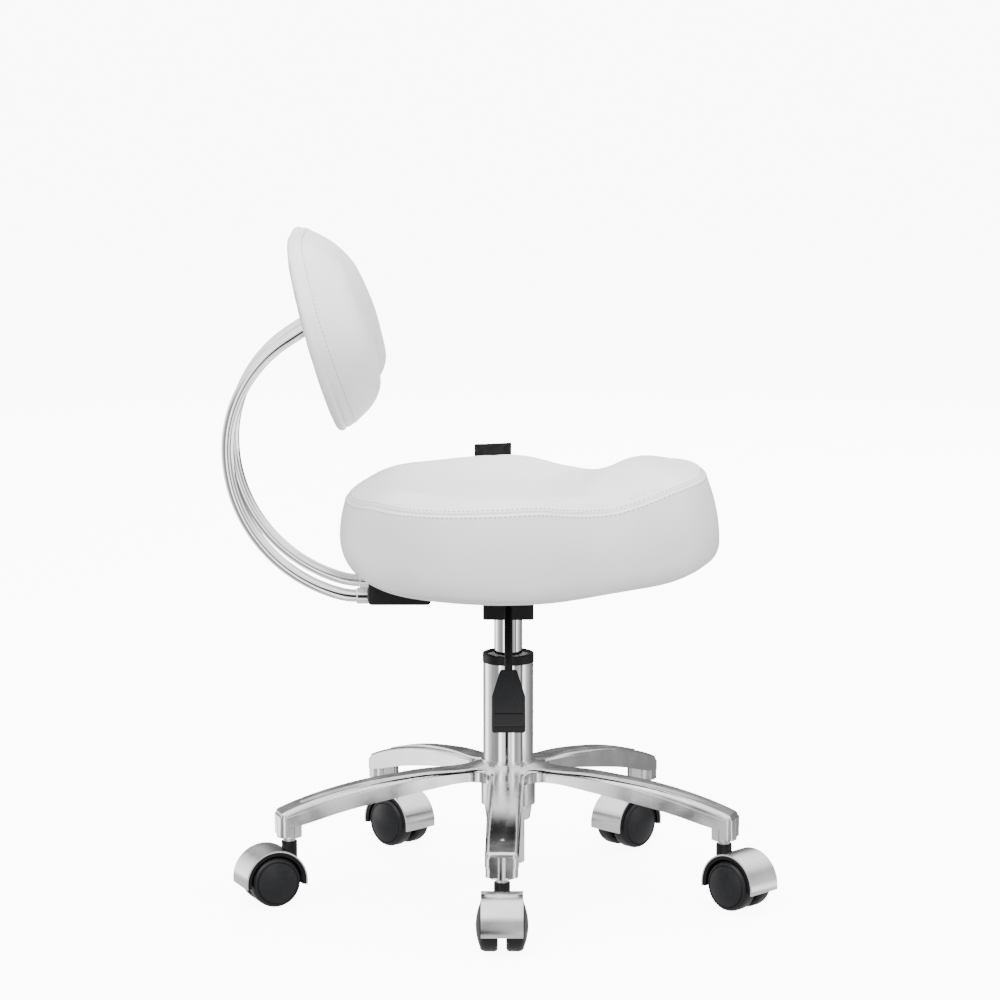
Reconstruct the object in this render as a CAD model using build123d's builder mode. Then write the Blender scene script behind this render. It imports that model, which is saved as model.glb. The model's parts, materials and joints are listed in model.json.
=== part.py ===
"""Dentist stool: five-star base on casters, gas lift, contoured seat and a sprung backrest.

Origin: the column's axis at floor level. +Z is up, +X is the way the sitter faces and the
release lever is on the sitter's right, at -Y. Millimetres. The seat is at its lowest.
"""

from build123d import *
import math
import os

# ---------------------------------------------------------------- driving dimensions

# Star base
arm_count = 5
first_arm_angle = 268.4  # the arm on the sitter's right, turned a little on its free swivel
stem_circle_radius = 225.0
boss_radius = 12.5
boss_bottom = 66.0
end_block_bottom = 68.0
end_block_half_width = 15.6
boss_top = 88.0
hub_radius = 27.0
hub_bottom = 85.0
hub_top = 131.0
arm_root_half_width = 17.5
arm_tip_half_width = 16.2
arm_tip_radius = 237.0
arm_tip_corner = 5.0
arm_crotch_radius = 16.0
arm_wall = 4.0
dome_inset = 1.3
wedge_root_half_width = 14.0
wedge_tip_half_width = 1.6
wedge_tip_radius = 214.0
wedge_rise = 1.2
dome_edge_radius = 4.0

# Radial profile of an arm: distance from the column's axis, ridge, crease and lower edge
arm_profile = [
    (24.0, 129.0, 123.0, 108.0),
    (44.0, 124.6, 121.5, 112.0),
    (80.0, 123.6, 120.0, 108.5),
    (115.0, 121.0, 116.0, 102.4),
    (150.0, 116.5, 109.5, 96.0),
    (186.0, 109.0, 100.5, 88.0),
    (214.0, 101.0, 92.5, 80.5),
    (241.0, 90.5, 86.0, 77.0),
]

# Column tube
tube_radius = 25.0
tube_wall = 2.0
tube_top = 229.0
tube_taper_foot_radius = 23.6
tube_step_top = 80.0
tube_step_bottom = 70.0
tube_step_radius = 22.0
sump_radius = 16.5
sump_wall = 1.5
sump_bottom = 25.0
sump_floor = 3.0
collar_radius = 25.5
collar_top = 238.0
collar_opening_radius = 21.0
bush_bottom = 178.0
bush_top = 236.0

# Gas spring
lift_travel = 178.0
cylinder_radius = 14.0
cylinder_wall = 1.3
cylinder_bottom = 41.0
cylinder_top = 301.0
cylinder_taper_top_radius = 13.2
cylinder_plug = 17.0
slide_clearance = 0.05
rod_radius = 5.0
rod_foot_radius = 4.0
rod_foot_bottom = 19.5
rod_shoulder = 35.0
piston_bottom = 239.0
piston_height = 12.0
ball_count = 10
ball_radius = 1.48
ball_circle_radius = 9.5
race_height = 2.0
race_radius = 13.0
buffer_radius = 11.5
buffer_gap = 0.3
clip_radius = 7.5
clip_mouth = 5.0
clip_bottom = 21.5
clip_groove_width = 2.0
clip_bore = 3.0
pin_radius = 3.5
pin_top = 306.7
pin_bottom = 287.0
pin_bore_bottom = 281.0

# Lift bracket under the seat
bracket_half_length = 25.0
bracket_near_y = -34.0
bracket_far_y = 28.0
bracket_bottom = 277.0
bracket_top = 318.0
bracket_slot_half_width = 6.0
bracket_corner_radius = 4.0
plate_length = 150.0
plate_width = 120.0
plate_thickness = 4.0
plate_corner_radius = 8.0
board_bottom = 317.0
board_thickness = 12.0
bolt_spacing_x = 120.0
bolt_spacing_y = 92.0
bolt_radius = 4.0
bolt_head_radius = 6.5
bolt_head_height = 4.5
tee_flange_radius = 9.0
tee_flange_height = 1.5
tee_barrel_radius = 5.5

# Release lever
lever_radius = 4.0
lever_height = 311.0
lever_inner_y = 5.0
lever_pivot_y = -28.0
lever_bend_y = -40.0
lever_tip_y = -172.0
lever_tip_z = 197.0
lever_pin_radius = 2.0
lever_notch_depth = 20.0
paddle_length = 69.0
paddle_half_width = 16.0
paddle_neck_half_width = 8.0
paddle_straight = 37.0
paddle_thickness = 11.0
paddle_corner_radius = 2.5
paddle_edge_radius = 1.5
paddle_groove_width = 1.6
paddle_groove_depth = 0.8
paddle_groove_from_tip = 15.0

# Seat cushion
seat_outline = [
    (-120.0, 130.0),
    (-62.0, 168.0),
    (0.0, 177.0),
    (50.0, 161.0),
    (92.0, 129.0),
    (130.0, 113.0),
    (168.0, 104.0),
    (196.0, 74.0),
]
seat_rear_x = -169.0
seat_front_x = 211.0
seat_top_profile = [
    (-182.0, 398.0),
    (-110.0, 408.0),
    (-20.0, 411.0),
    (55.0, 411.0),
    (95.0, 419.0),
    (142.0, 432.0),
    (185.0, 428.0),
    (224.0, 408.0),
]
seat_flat_rear_x = -110.0
seat_flat_front_x = 70.0
seat_rear_rise = 8.0
seat_front_rise = 28.0
cover_thickness = 1.2
board_inset = 28.0
cover_rim = 46.0
cloth_thickness = 0.8
tab_length = 38.0
tab_height = 24.0
tab_thickness = 1.0
tab_centre_x = -15.5
tab_centre_z = 409.0

# Backrest
back_lean = 15.9
back_seam_foot_x = -154.0
back_seam_foot_z = 476.0
pad_height = 190.0
pad_half_width = 165.0
pad_front_depth = 46.0
pad_rear_depth = 12.0
pad_edge_radius = 16.0
back_board_thickness = 12.0
back_board_inset = 16.0
back_plate_thickness = 3.0
back_plate_width = 130.0
back_plate_height = 60.0
back_plate_corner_radius = 6.0
rod_spacing = 84.0
back_rod_radius = 6.25
rod_back_x = -274.0
rod_back_z = 447.0
rod_upper_arc = 128.0
rod_lower_arc = 147.0
rod_end_arc = 60.0
rod_upper_slope = 33.0
rod_lower_slope = 15.0
rod_upper_run = 60.0
ferrule_radius = 8.0
ferrule_length = 12.0
ferrule_stud_radius = 4.0
ferrule_stud_length = 20.0
block_rear_x = -137.0
block_front_x = -76.0
block_half_width = 60.0
block_bottom = 296.5
block_corner_radius = 5.0
block_chamfer = 1.5
pad_arch = 26.0
back_plate_y = -14.0
back_screw_radius = 2.5

# Casters
wheel_radius = 25.0
wheel_width = 15.6
wheel_face_radius = 20.5
wheel_face_height = 1.0
caster_trail = 20.0
web_half_width = 2.5
wheel_gap = 0.4
axle_radius = 3.0
running_clearance = 0.05
wheel_well_radius = 26.2
liner_inner_radius = 26.8
liner_outer_radius = 30.4
hood_inner_radius = 30.5
hood_outer_radius = 32.0
hood_half_width = 20.0
hood_start_angle = -8.0
hood_end_angle = 188.0
neck_radius = 7.8
neck_top = 61.5
stem_radius = 5.5
stem_top = 84.0
stem_foot_radius = 4.0
stem_foot_bottom = 46.0
stem_flange_radius = 6.2

# Caster name and the direction in which it trails, in degrees from +X
casters = [
    ("right", 270.0),
    ("front_right", 317.0),
    ("front_left", 225.0),
    ("rear_left", 315.0),
    ("rear_right", 203.0),
]


def save(piece, name):
    """Label a finished piece and write it as parts/NAME.step."""
    piece.part.label = name
    export_step(piece.part, f"parts/{name}.step")


def disc(low, high, radius, bore=0.0):
    """A cylinder or ring on the column's axis between two heights."""
    with BuildPart() as ring:
        with BuildSketch(Plane.XY.offset(low)):
            Circle(radius)
            if bore > 0:
                Circle(bore, mode=Mode.SUBTRACT)
        extrude(amount=high - low)
    return ring


def revolved(points):
    """A solid of revolution about the column's axis from (radius, height) corners."""
    with BuildPart() as turned:
        with BuildSketch(Plane.XZ):
            with BuildLine():
                Polyline(*points, close=True)
            make_face()
        revolve(axis=Axis.Z)
    return turned


os.makedirs("parts", exist_ok=True)

# ---------------------------------------------------------------- star base


def star_plan(inset):
    """The base from above: five tapered arms with round crotches, drawn in by an inset."""
    root = arm_root_half_width - inset
    tip = arm_tip_half_width - inset
    end = arm_tip_radius - inset
    with BuildSketch() as plan:
        Circle(tube_radius - arm_wall)
        for index in range(arm_count):
            angle = first_arm_angle + index * 360 / arm_count
            with BuildSketch(mode=Mode.PRIVATE) as arm:
                with BuildLine():
                    Polyline((0, -root), (end, -tip), (end, tip), (0, root), close=True)
                make_face()
            add(arm.sketch, rotation=angle)
        crotches = plan.vertices().filter_by(
            lambda v: math.hypot(v.X, v.Y) < stem_circle_radius / 2
        )
        fillet(crotches, radius=arm_crotch_radius)
        corners = plan.vertices().filter_by(
            lambda v: math.hypot(v.X, v.Y) > arm_tip_radius - arm_wall - 1
        )
        fillet(corners, radius=arm_tip_corner - inset / 2)
    return plan


def wedge_plan():
    """The polished ridges from above: five narrow wedges that run from the hub to the arm tips."""
    with BuildSketch() as plan:
        Circle(tube_radius - arm_wall)
        for index in range(arm_count):
            with BuildSketch(mode=Mode.PRIVATE) as wedge:
                with BuildLine():
                    Polyline(
                        (0, -wedge_root_half_width),
                        (wedge_tip_radius, -wedge_tip_half_width),
                        (wedge_tip_radius, wedge_tip_half_width),
                        (0, wedge_root_half_width),
                        close=True,
                    )
                make_face()
            add(wedge.sketch, rotation=first_arm_angle + index * 360 / arm_count)
    return plan


def radial_band(upper, lower, upper_shift=0.0, lower_shift=0.0, inner=0.0, outer=0.0):
    """A dish swept about the column between two columns of the arm profile."""
    top = [(row[0], row[upper] + upper_shift) for row in arm_profile]
    bottom = [(row[0], row[lower] + lower_shift) for row in arm_profile]
    if inner:
        top = [point for point in top if inner <= point[0] <= outer]
        bottom = [point for point in bottom if inner <= point[0] <= outer]
    with BuildPart() as band:
        with BuildSketch(Plane.XZ):
            with BuildLine():
                Spline(*top)
                Line(top[-1], bottom[-1])
                Spline(*reversed(bottom))
                Line(bottom[0], top[0])
            make_face()
        revolve(axis=Axis.Z)
    return band


RIDGE, CREASE, LOWER = 1, 2, 3
plan_height = hub_top + 10

walls_plan = star_plan(0)
domes_plan = star_plan(dome_inset)
channels_plan = star_plan(arm_wall)
walls_band = radial_band(CREASE, LOWER)
wedges_plan = wedge_plan()
domes_band = radial_band(RIDGE, LOWER, -wedge_rise, arm_wall)
wedges_band = radial_band(RIDGE, CREASE)
channels_band = radial_band(CREASE, LOWER, -arm_wall, -arm_wall, inner=40, outer=200)

with BuildPart() as arm_walls:
    add(walls_plan.sketch)
    extrude(amount=plan_height)
    add(walls_band.part, mode=Mode.INTERSECT)

with BuildPart() as arm_domes:
    add(domes_plan.sketch)
    extrude(amount=plan_height)
    add(domes_band.part, mode=Mode.INTERSECT)

with BuildPart() as arm_channels:
    add(channels_plan.sketch)
    extrude(amount=plan_height)
    add(channels_band.part, mode=Mode.INTERSECT)

with BuildPart() as arm_wedges:
    add(wedges_plan.sketch)
    extrude(amount=plan_height)
    add(wedges_band.part, mode=Mode.INTERSECT)

with BuildPart() as rounded_domes:
    add(arm_domes.part)
    upper_faces = rounded_domes.faces().filter_by(lambda f: f.normal_at().Z > 0.3)
    crown = upper_faces.sort_by(SortBy.AREA)[-1]
    fillet(crown.outer_wire().edges(), radius=dome_edge_radius)

with BuildPart() as star_base:
    add(arm_walls.part)
    add(rounded_domes.part)
    add(arm_wedges.part)
    add(arm_channels.part, mode=Mode.SUBTRACT)
    add(disc(hub_bottom, hub_top, hub_radius).part)
    for index in range(arm_count):
        angle = math.radians(first_arm_angle + index * 360 / arm_count)
        foot = (stem_circle_radius * math.cos(angle), stem_circle_radius * math.sin(angle))
        with BuildSketch(Plane.XY.offset(boss_bottom)):
            with Locations(foot):
                Circle(boss_radius)
        extrude(amount=boss_top - boss_bottom)
        outwards = Plane(
            origin=(*foot, boss_top),
            x_dir=(math.cos(angle), math.sin(angle), 0),
            z_dir=(0, 0, -1),
        )
        block_length = arm_tip_radius - stem_circle_radius
        with BuildSketch(outwards) as end_block:
            with Locations((block_length / 2, 0)):
                Rectangle(block_length, 2 * end_block_half_width)
            fillet(end_block.vertices().group_by(Axis.X)[-1], radius=arm_tip_corner)
        extrude(amount=boss_top - end_block_bottom)
        with BuildSketch(Plane.XY.offset(boss_bottom)):
            with Locations(foot):
                Circle(stem_radius)
        extrude(amount=stem_top - boss_bottom, mode=Mode.SUBTRACT)
    bore = revolved(
        [
            (0, hub_bottom - 10),
            (tube_taper_foot_radius, hub_bottom - 10),
            (tube_taper_foot_radius, hub_bottom),
            (tube_radius, hub_top),
            (tube_radius, hub_top + 10),
            (0, hub_top + 10),
        ]
    )
    add(bore.part, mode=Mode.SUBTRACT)
save(star_base, "star_base")

# ---------------------------------------------------------------- column tube and its trim

sump_bore = sump_radius - sump_wall
with BuildPart() as column_tube:
    outside = revolved(
        [
            (0, sump_bottom),
            (sump_radius, sump_bottom),
            (sump_radius, tube_step_bottom),
            (tube_step_radius, tube_step_bottom),
            (tube_taper_foot_radius, tube_step_top),
            (tube_taper_foot_radius, hub_bottom),
            (tube_radius, hub_top),
            (tube_radius, tube_top),
            (0, tube_top),
        ]
    )
    inside = revolved(
        [
            (0, sump_bottom + sump_floor),
            (sump_bore, sump_bottom + sump_floor),
            (sump_bore, tube_step_bottom + tube_wall),
            (tube_step_radius - tube_wall, tube_step_bottom + tube_wall),
            (tube_taper_foot_radius - tube_wall, tube_step_top),
            (tube_taper_foot_radius - tube_wall, hub_bottom),
            (tube_radius - tube_wall, hub_top),
            (tube_radius - tube_wall, tube_top),
            (0, tube_top),
        ]
    )
    add(outside.part)
    add(inside.part, mode=Mode.SUBTRACT)
    rod_hole = disc(sump_bottom, sump_bottom + sump_floor, rod_foot_radius + running_clearance)
    add(rod_hole.part, mode=Mode.SUBTRACT)
save(column_tube, "column_tube")

with BuildPart() as column_collar:
    add(disc(tube_top, collar_top, collar_radius, collar_opening_radius).part)
    fillet(column_collar.edges().group_by(Axis.Z)[-1], radius=1.2)
save(column_collar, "column_collar")

bush_bore = cylinder_radius + slide_clearance
with BuildPart() as guide_bush:
    add(disc(bush_bottom, tube_top, tube_radius - tube_wall, bush_bore).part)
    add(disc(tube_top, bush_top, collar_opening_radius, bush_bore).part)
save(guide_bush, "guide_bush")

# ---------------------------------------------------------------- swivelling foot of the gas spring

race_bore = rod_foot_radius + 2 * running_clearance
lower_race_bottom = sump_bottom + sump_floor
lower_race = disc(
    lower_race_bottom, lower_race_bottom + race_height, race_radius, race_bore
)
save(lower_race, "lower_bearing_race")

upper_race_bottom = rod_shoulder - race_height
upper_race = disc(upper_race_bottom, rod_shoulder, race_radius, rod_foot_radius)
save(upper_race, "upper_bearing_race")

ball_height = (lower_race_bottom + race_height + upper_race_bottom) / 2
with BuildPart() as bearing_balls:
    with Locations((0, 0, ball_height)):
        with PolarLocations(ball_circle_radius, ball_count):
            Sphere(ball_radius)
save(bearing_balls, "bearing_balls")

rubber_buffer = disc(rod_shoulder, cylinder_bottom - buffer_gap, buffer_radius, rod_radius)
save(rubber_buffer, "rubber_buffer")

with BuildPart() as piston_rod:
    add(disc(rod_foot_bottom, rod_shoulder, rod_foot_radius).part)
    add(disc(rod_shoulder, piston_bottom, rod_radius).part)
    piston_radius = cylinder_radius - cylinder_wall - slide_clearance
    add(disc(piston_bottom, piston_bottom + piston_height, piston_radius).part)
    clip_groove = disc(clip_bottom, clip_bottom + clip_groove_width, rod_radius, clip_bore)
    add(clip_groove.part, mode=Mode.SUBTRACT)
save(piston_rod, "piston_rod")

with BuildPart() as rod_clip:
    clip_low = clip_bottom + running_clearance
    clip_high = clip_bottom + clip_groove_width - running_clearance
    add(disc(clip_low, clip_high, clip_radius, clip_bore).part)
    with BuildSketch(Plane.XY.offset(clip_bottom)):
        with Locations((clip_radius / 2, 0)):
            Rectangle(clip_radius + 2, clip_mouth)
    extrude(amount=clip_groove_width, mode=Mode.SUBTRACT)
save(rod_clip, "rod_clip")

# ---------------------------------------------------------------- gas cylinder

cylinder_bore = cylinder_radius - cylinder_wall
with BuildPart() as gas_cylinder:
    shell = revolved(
        [
            (cylinder_bore, cylinder_bottom),
            (cylinder_radius, cylinder_bottom),
            (cylinder_radius, bracket_bottom),
            (cylinder_taper_top_radius, cylinder_top),
            (pin_radius + running_clearance, cylinder_top),
            (pin_radius + running_clearance, pin_bore_bottom),
            (cylinder_bore, pin_bore_bottom),
        ]
    )
    add(shell.part)
save(gas_cylinder, "gas_cylinder")

cylinder_seal = disc(
    cylinder_bottom, cylinder_bottom + cylinder_plug, cylinder_bore, rod_radius + slide_clearance
)
save(cylinder_seal, "cylinder_seal")

release_pin = disc(pin_bottom, pin_top, pin_radius)
save(release_pin, "release_pin")

# ---------------------------------------------------------------- lift bracket, plate and bolts

bracket_depth = bracket_far_y - bracket_near_y
bracket_centre_y = (bracket_far_y + bracket_near_y) / 2
with BuildPart() as lift_bracket:
    with BuildSketch(Plane.XY.offset(bracket_bottom)):
        with Locations((0, bracket_centre_y)):
            RectangleRounded(2 * bracket_half_length, bracket_depth, bracket_corner_radius)
    extrude(amount=bracket_top - bracket_bottom)
    taper_bore = revolved(
        [
            (0, bracket_bottom),
            (cylinder_radius, bracket_bottom),
            (cylinder_taper_top_radius, cylinder_top),
            (cylinder_taper_top_radius, bracket_top),
            (0, bracket_top),
        ]
    )
    add(taper_bore.part, mode=Mode.SUBTRACT)
    with BuildSketch(Plane.XY.offset(cylinder_top)):
        slot_far_y = lever_inner_y + 3
        slot_near_y = bracket_near_y - 2
        with Locations((0, (slot_near_y + slot_far_y) / 2)):
            Rectangle(2 * bracket_slot_half_width, slot_far_y - slot_near_y)
    extrude(amount=bracket_top - cylinder_top, mode=Mode.SUBTRACT)
    with BuildSketch(Plane.YZ.offset(-bracket_half_length)):
        with Locations((lever_pivot_y, lever_height)):
            Circle(lever_pin_radius)
    extrude(amount=2 * bracket_half_length, mode=Mode.SUBTRACT)
save(lift_bracket, "lift_bracket")

with BuildPart() as lever_pivot_pin:
    with BuildSketch(Plane.YZ.offset(-bracket_half_length + 1)):
        with Locations((lever_pivot_y, lever_height)):
            Circle(lever_pin_radius)
    extrude(amount=2 * bracket_half_length - 2)
save(lever_pivot_pin, "lever_pivot_pin")

plate_bottom = board_bottom - plate_thickness
with BuildPart() as mounting_plate:
    with BuildSketch(Plane.XY.offset(plate_bottom)):
        RectangleRounded(plate_length, plate_width, plate_corner_radius)
        with Locations((0, bracket_centre_y)):
            RectangleRounded(
                2 * bracket_half_length, bracket_depth, bracket_corner_radius, mode=Mode.SUBTRACT
            )
        with GridLocations(bolt_spacing_x, bolt_spacing_y, 2, 2):
            Circle(bolt_radius, mode=Mode.SUBTRACT)
        with Locations((0, bracket_near_y - lever_notch_depth / 2 + 2)):
            Rectangle(2 * bracket_slot_half_width, lever_notch_depth + 4, mode=Mode.SUBTRACT)
    extrude(amount=plate_thickness)
save(mounting_plate, "mounting_plate")

# Bolt positions: four through the mounting plate and two through the backrest block
block_bolts = [(-94.0, -22.0), (-94.0, 22.0)]
plate_bolts = [
    (x * bolt_spacing_x / 2, y * bolt_spacing_y / 2) for x in (-1, 1) for y in (-1, 1)
]

with BuildPart() as seat_bolts:
    for points, under in ((plate_bolts, plate_bottom), (block_bolts, block_bottom)):
        with BuildSketch(Plane.XY.offset(under - bolt_head_height)):
            with Locations(points):
                RegularPolygon(bolt_head_radius, 6)
        extrude(amount=bolt_head_height)
        with BuildSketch(Plane.XY.offset(under)):
            with Locations(points):
                Circle(bolt_radius)
        extrude(amount=board_bottom + board_thickness - 1 - under)
save(seat_bolts, "seat_bolts")

with BuildPart() as tee_nuts:
    with BuildSketch(Plane.XY.offset(board_bottom + 2)):
        with Locations(plate_bolts + block_bolts):
            Circle(tee_barrel_radius)
            Circle(bolt_radius, mode=Mode.SUBTRACT)
    extrude(amount=board_thickness - 2)
    with BuildSketch(Plane.XY.offset(board_bottom + board_thickness)):
        with Locations(plate_bolts + block_bolts):
            Circle(tee_flange_radius)
            Circle(bolt_radius, mode=Mode.SUBTRACT)
    extrude(amount=tee_flange_height)
save(tee_nuts, "tee_nuts")

# ---------------------------------------------------------------- release lever

lever_slope = math.degrees(
    math.atan2(lever_height - lever_tip_z, lever_bend_y - lever_tip_y)
)
slope_rad = math.radians(lever_slope)
downhill = (0, -math.cos(slope_rad), -math.sin(slope_rad))
rod_tip = (
    0,
    lever_tip_y - 8 * downhill[1],
    lever_tip_z - 8 * downhill[2],
)
with BuildPart() as lever_rod:
    with BuildLine() as lever_path:
        FilletPolyline(
            (0, lever_inner_y, lever_height),
            (0, lever_bend_y, lever_height),
            rod_tip,
            radius=10,
        )
    with BuildSketch(Plane(origin=lever_path.line @ 0, z_dir=lever_path.line % 0)):
        Circle(lever_radius)
    sweep()
    with BuildSketch(Plane.YZ.offset(-2 * lever_radius)):
        with Locations((lever_pivot_y, lever_height)):
            Circle(lever_pin_radius + running_clearance)
    extrude(amount=4 * lever_radius, mode=Mode.SUBTRACT)
save(lever_rod, "lever_rod")

# The paddle's plane: local x is world X, local y runs uphill along the rod
paddle_plane = Plane(
    origin=(0, lever_tip_y, lever_tip_z),
    x_dir=(1, 0, 0),
    z_dir=(0, -math.sin(slope_rad), math.cos(slope_rad)),
)
with BuildPart() as lever_paddle:
    with BuildSketch(paddle_plane.offset(-paddle_thickness / 2)) as paddle_outline:
        with BuildLine():
            Polyline(
                (-paddle_half_width, 0),
                (paddle_half_width, 0),
                (paddle_half_width, paddle_straight),
                (paddle_neck_half_width, paddle_length),
                (-paddle_neck_half_width, paddle_length),
                (-paddle_half_width, paddle_straight),
                close=True,
            )
        make_face()
        fillet(paddle_outline.vertices(), radius=paddle_corner_radius)
    extrude(amount=paddle_thickness)
    through_paddle = Axis((0, 0, 0), paddle_plane.z_dir)
    fillet(lever_paddle.faces().sort_by(through_paddle)[-1].edges(), paddle_edge_radius)
    fillet(lever_paddle.faces().sort_by(through_paddle)[0].edges(), paddle_edge_radius)
    with BuildSketch(paddle_plane.offset(paddle_thickness / 2 - paddle_groove_depth)):
        with Locations((0, paddle_groove_from_tip)):
            Rectangle(2 * (paddle_half_width - paddle_corner_radius), paddle_groove_width)
    extrude(amount=2 * paddle_groove_depth, mode=Mode.SUBTRACT)
    add(lever_rod.part, mode=Mode.SUBTRACT)
save(lever_paddle, "lever_paddle")

# ---------------------------------------------------------------- seat


def drawn_in(points, distance):
    """A closed outline's points, each moved inwards square to its neighbours (clockwise)."""
    moved = []
    for index, (x, y) in enumerate(points):
        before, after = points[index - 1], points[(index + 1) % len(points)]
        along = (after[0] - before[0], after[1] - before[1])
        length = math.hypot(*along)
        moved.append((x + distance * along[1] / length, y - distance * along[0] / length))
    return moved


def seat_plan(shrink):
    """The seat's outline from above, drawn in by a distance."""
    far_side = [(x, -y) for x, y in reversed(seat_outline)]
    outline = [(seat_rear_x, 0), *seat_outline, (seat_front_x, 0), *far_side]
    with BuildSketch() as plan:
        with BuildLine():
            Spline(*drawn_in(outline, shrink), periodic=True)
        make_face()
    return plan


def seat_side(bottom_shift, top_shift=None, thickness=None):
    """The seat's side profile: a board-flat middle that curls up in front and behind."""
    rear, front = seat_rear_x - 15, seat_front_x + 15
    low = board_bottom + bottom_shift
    with BuildSketch(Plane.XZ) as side:
        with BuildLine() as bottom:
            flat = Line((seat_flat_rear_x, low), (seat_flat_front_x, low))
            TangentArc((seat_flat_rear_x, low), (rear, low + seat_rear_rise), tangent=(-1, 0))
            TangentArc((seat_flat_front_x, low), (front, low + seat_front_rise), tangent=(1, 0))
            if thickness:
                add(bottom.line.moved(Location((0, thickness))))
                Line((rear, low + seat_rear_rise), (rear, low + seat_rear_rise + thickness))
                Line((front, low + seat_front_rise), (front, low + seat_front_rise + thickness))
            else:
                top = [(x, z + top_shift) for x, z in seat_top_profile]
                top[0] = (rear, top[0][1])
                top[-1] = (front, top[-1][1])
                Spline(*top)
                Line((rear, low + seat_rear_rise), top[0])
                Line((front, low + seat_front_rise), top[-1])
        make_face()
    return side


def seat_block(shrink, bottom_shift, top_shift=None, thickness=None):
    """The seat's plan and side profile, crossed."""
    plan = seat_plan(shrink)
    side = seat_side(bottom_shift, top_shift, thickness)
    with BuildPart() as column:
        extrude(plan.sketch, amount=board_bottom + 200, dir=(0, 0, 1))
    with BuildPart() as block:
        extrude(side.sketch, amount=200, dir=(0, 1, 0), both=True)
        add(column.part, mode=Mode.INTERSECT)
    return block


seat_skin = seat_block(0, -cover_thickness, 0.0)
seat_core = seat_block(cover_thickness, 0.0, -cover_thickness)
board_blank = seat_block(board_inset, 0.0, thickness=board_thickness)

with BuildPart() as board_hardware:
    with BuildSketch(Plane.XY.offset(board_bottom - 5)):
        with Locations(plate_bolts + block_bolts):
            Circle(bolt_radius)
    extrude(amount=40)
    with BuildSketch(Plane.XY.offset(board_bottom + 2)):
        with Locations(plate_bolts + block_bolts):
            Circle(tee_barrel_radius)
    extrude(amount=30)

with BuildPart() as seat_board:
    add(board_blank.part)
    add(board_hardware.part, mode=Mode.SUBTRACT)
    with BuildSketch(Plane.XY.offset(board_bottom - 5)):
        with Locations((0, bracket_centre_y)):
            Rectangle(2 * bracket_half_length + 6, bracket_depth + 24)
    extrude(amount=30, mode=Mode.SUBTRACT)
save(seat_board, "seat_board")

board_pocket = seat_block(board_inset, -5.0, thickness=board_thickness + 5.0)
with BuildPart() as seat_foam:
    add(seat_core.part)
    add(board_pocket.part, mode=Mode.SUBTRACT)
    with BuildSketch(Plane.XY.offset(board_bottom + board_thickness)):
        with Locations(plate_bolts + block_bolts):
            Circle(tee_flange_radius)
    extrude(amount=tee_flange_height, mode=Mode.SUBTRACT)
save(seat_foam, "seat_foam")

with BuildPart() as seat_cover:
    add(seat_skin.part)
    add(seat_core.part, mode=Mode.SUBTRACT)
    extrude(
        seat_plan(cover_rim).sketch,
        amount=board_bottom + board_thickness + seat_front_rise,
        dir=(0, 0, 1),
        mode=Mode.SUBTRACT,
    )
    with BuildSketch(Plane.XY.offset(board_bottom - 5)):
        with Locations(((block_rear_x + block_front_x) / 2, 0)):
            Rectangle(block_front_x - block_rear_x + 2, 2 * block_half_width + 2)
    extrude(amount=5 + cover_thickness, mode=Mode.SUBTRACT)
save(seat_cover, "seat_cover")

with BuildPart() as bottom_cloth:
    extrude(seat_plan(cover_rim).sketch, amount=board_bottom + 100, dir=(0, 0, 1))
    with BuildPart(mode=Mode.PRIVATE) as cloth_band:
        extrude(
            seat_side(-cloth_thickness, thickness=cloth_thickness).sketch,
            amount=200,
            dir=(0, 1, 0),
            both=True,
        )
    add(cloth_band.part, mode=Mode.INTERSECT)
    with BuildSketch(Plane.XY.offset(board_bottom - 5)):
        Rectangle(plate_length + 4, plate_width + 4)
        with Locations(((block_rear_x + block_front_x) / 2 - 10, 0)):
            Rectangle(block_front_x - block_rear_x + 26, 2 * block_half_width + 4)
    extrude(amount=10, mode=Mode.SUBTRACT)
save(bottom_cloth, "bottom_cloth")

tab_y = max(y for x, y in seat_outline) + tab_thickness + cover_thickness
with BuildPart() as side_tab:
    with BuildSketch(Plane.XZ.offset(-tab_y)):
        with Locations((tab_centre_x, tab_centre_z)):
            Rectangle(tab_length, tab_height)
    extrude(amount=tab_thickness)
save(side_tab, "side_tab")

# ---------------------------------------------------------------- backrest pad

lean = math.radians(back_lean)
seam_direction = (-math.sin(lean), math.cos(lean))
pad_origin = (
    back_seam_foot_x + seam_direction[0] * pad_height / 2,
    0,
    back_seam_foot_z + seam_direction[1] * pad_height / 2,
)
# Local x is world Y, local y runs up the pad and local z points at the sitter
pad_plane = Plane(
    origin=pad_origin, x_dir=(0, 1, 0), z_dir=(math.cos(lean), 0, math.sin(lean))
)


def pad_plan(plane, shrink):
    """The backrest's kidney outline: a full top and a bottom arched between two lobes."""
    half = pad_height / 2
    side = [
        (pad_half_width * 0.62, half - 12),
        (pad_half_width, -half * 0.1),
        (pad_half_width * 0.62, -half + 1),
    ]
    other_side = [(-x, y) for x, y in reversed(side)]
    outline = [(0, half - 1), *side, (0, -half + pad_arch), *other_side]
    with BuildSketch(plane) as plan:
        with BuildLine():
            Spline(*drawn_in(outline, shrink), periodic=True)
        make_face()
    return plan


def pad_slab(low, high, shrink, edge=0.0):
    """The outline raised between two depths, its front edge rounded."""
    with BuildPart() as slab:
        extrude(pad_plan(pad_plane.offset(low), shrink).sketch, amount=high - low)
        if edge:
            front = slab.faces().sort_by(Axis(pad_origin, pad_plane.z_dir))[-1]
            fillet(front.edges(), edge)
    return slab


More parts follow.
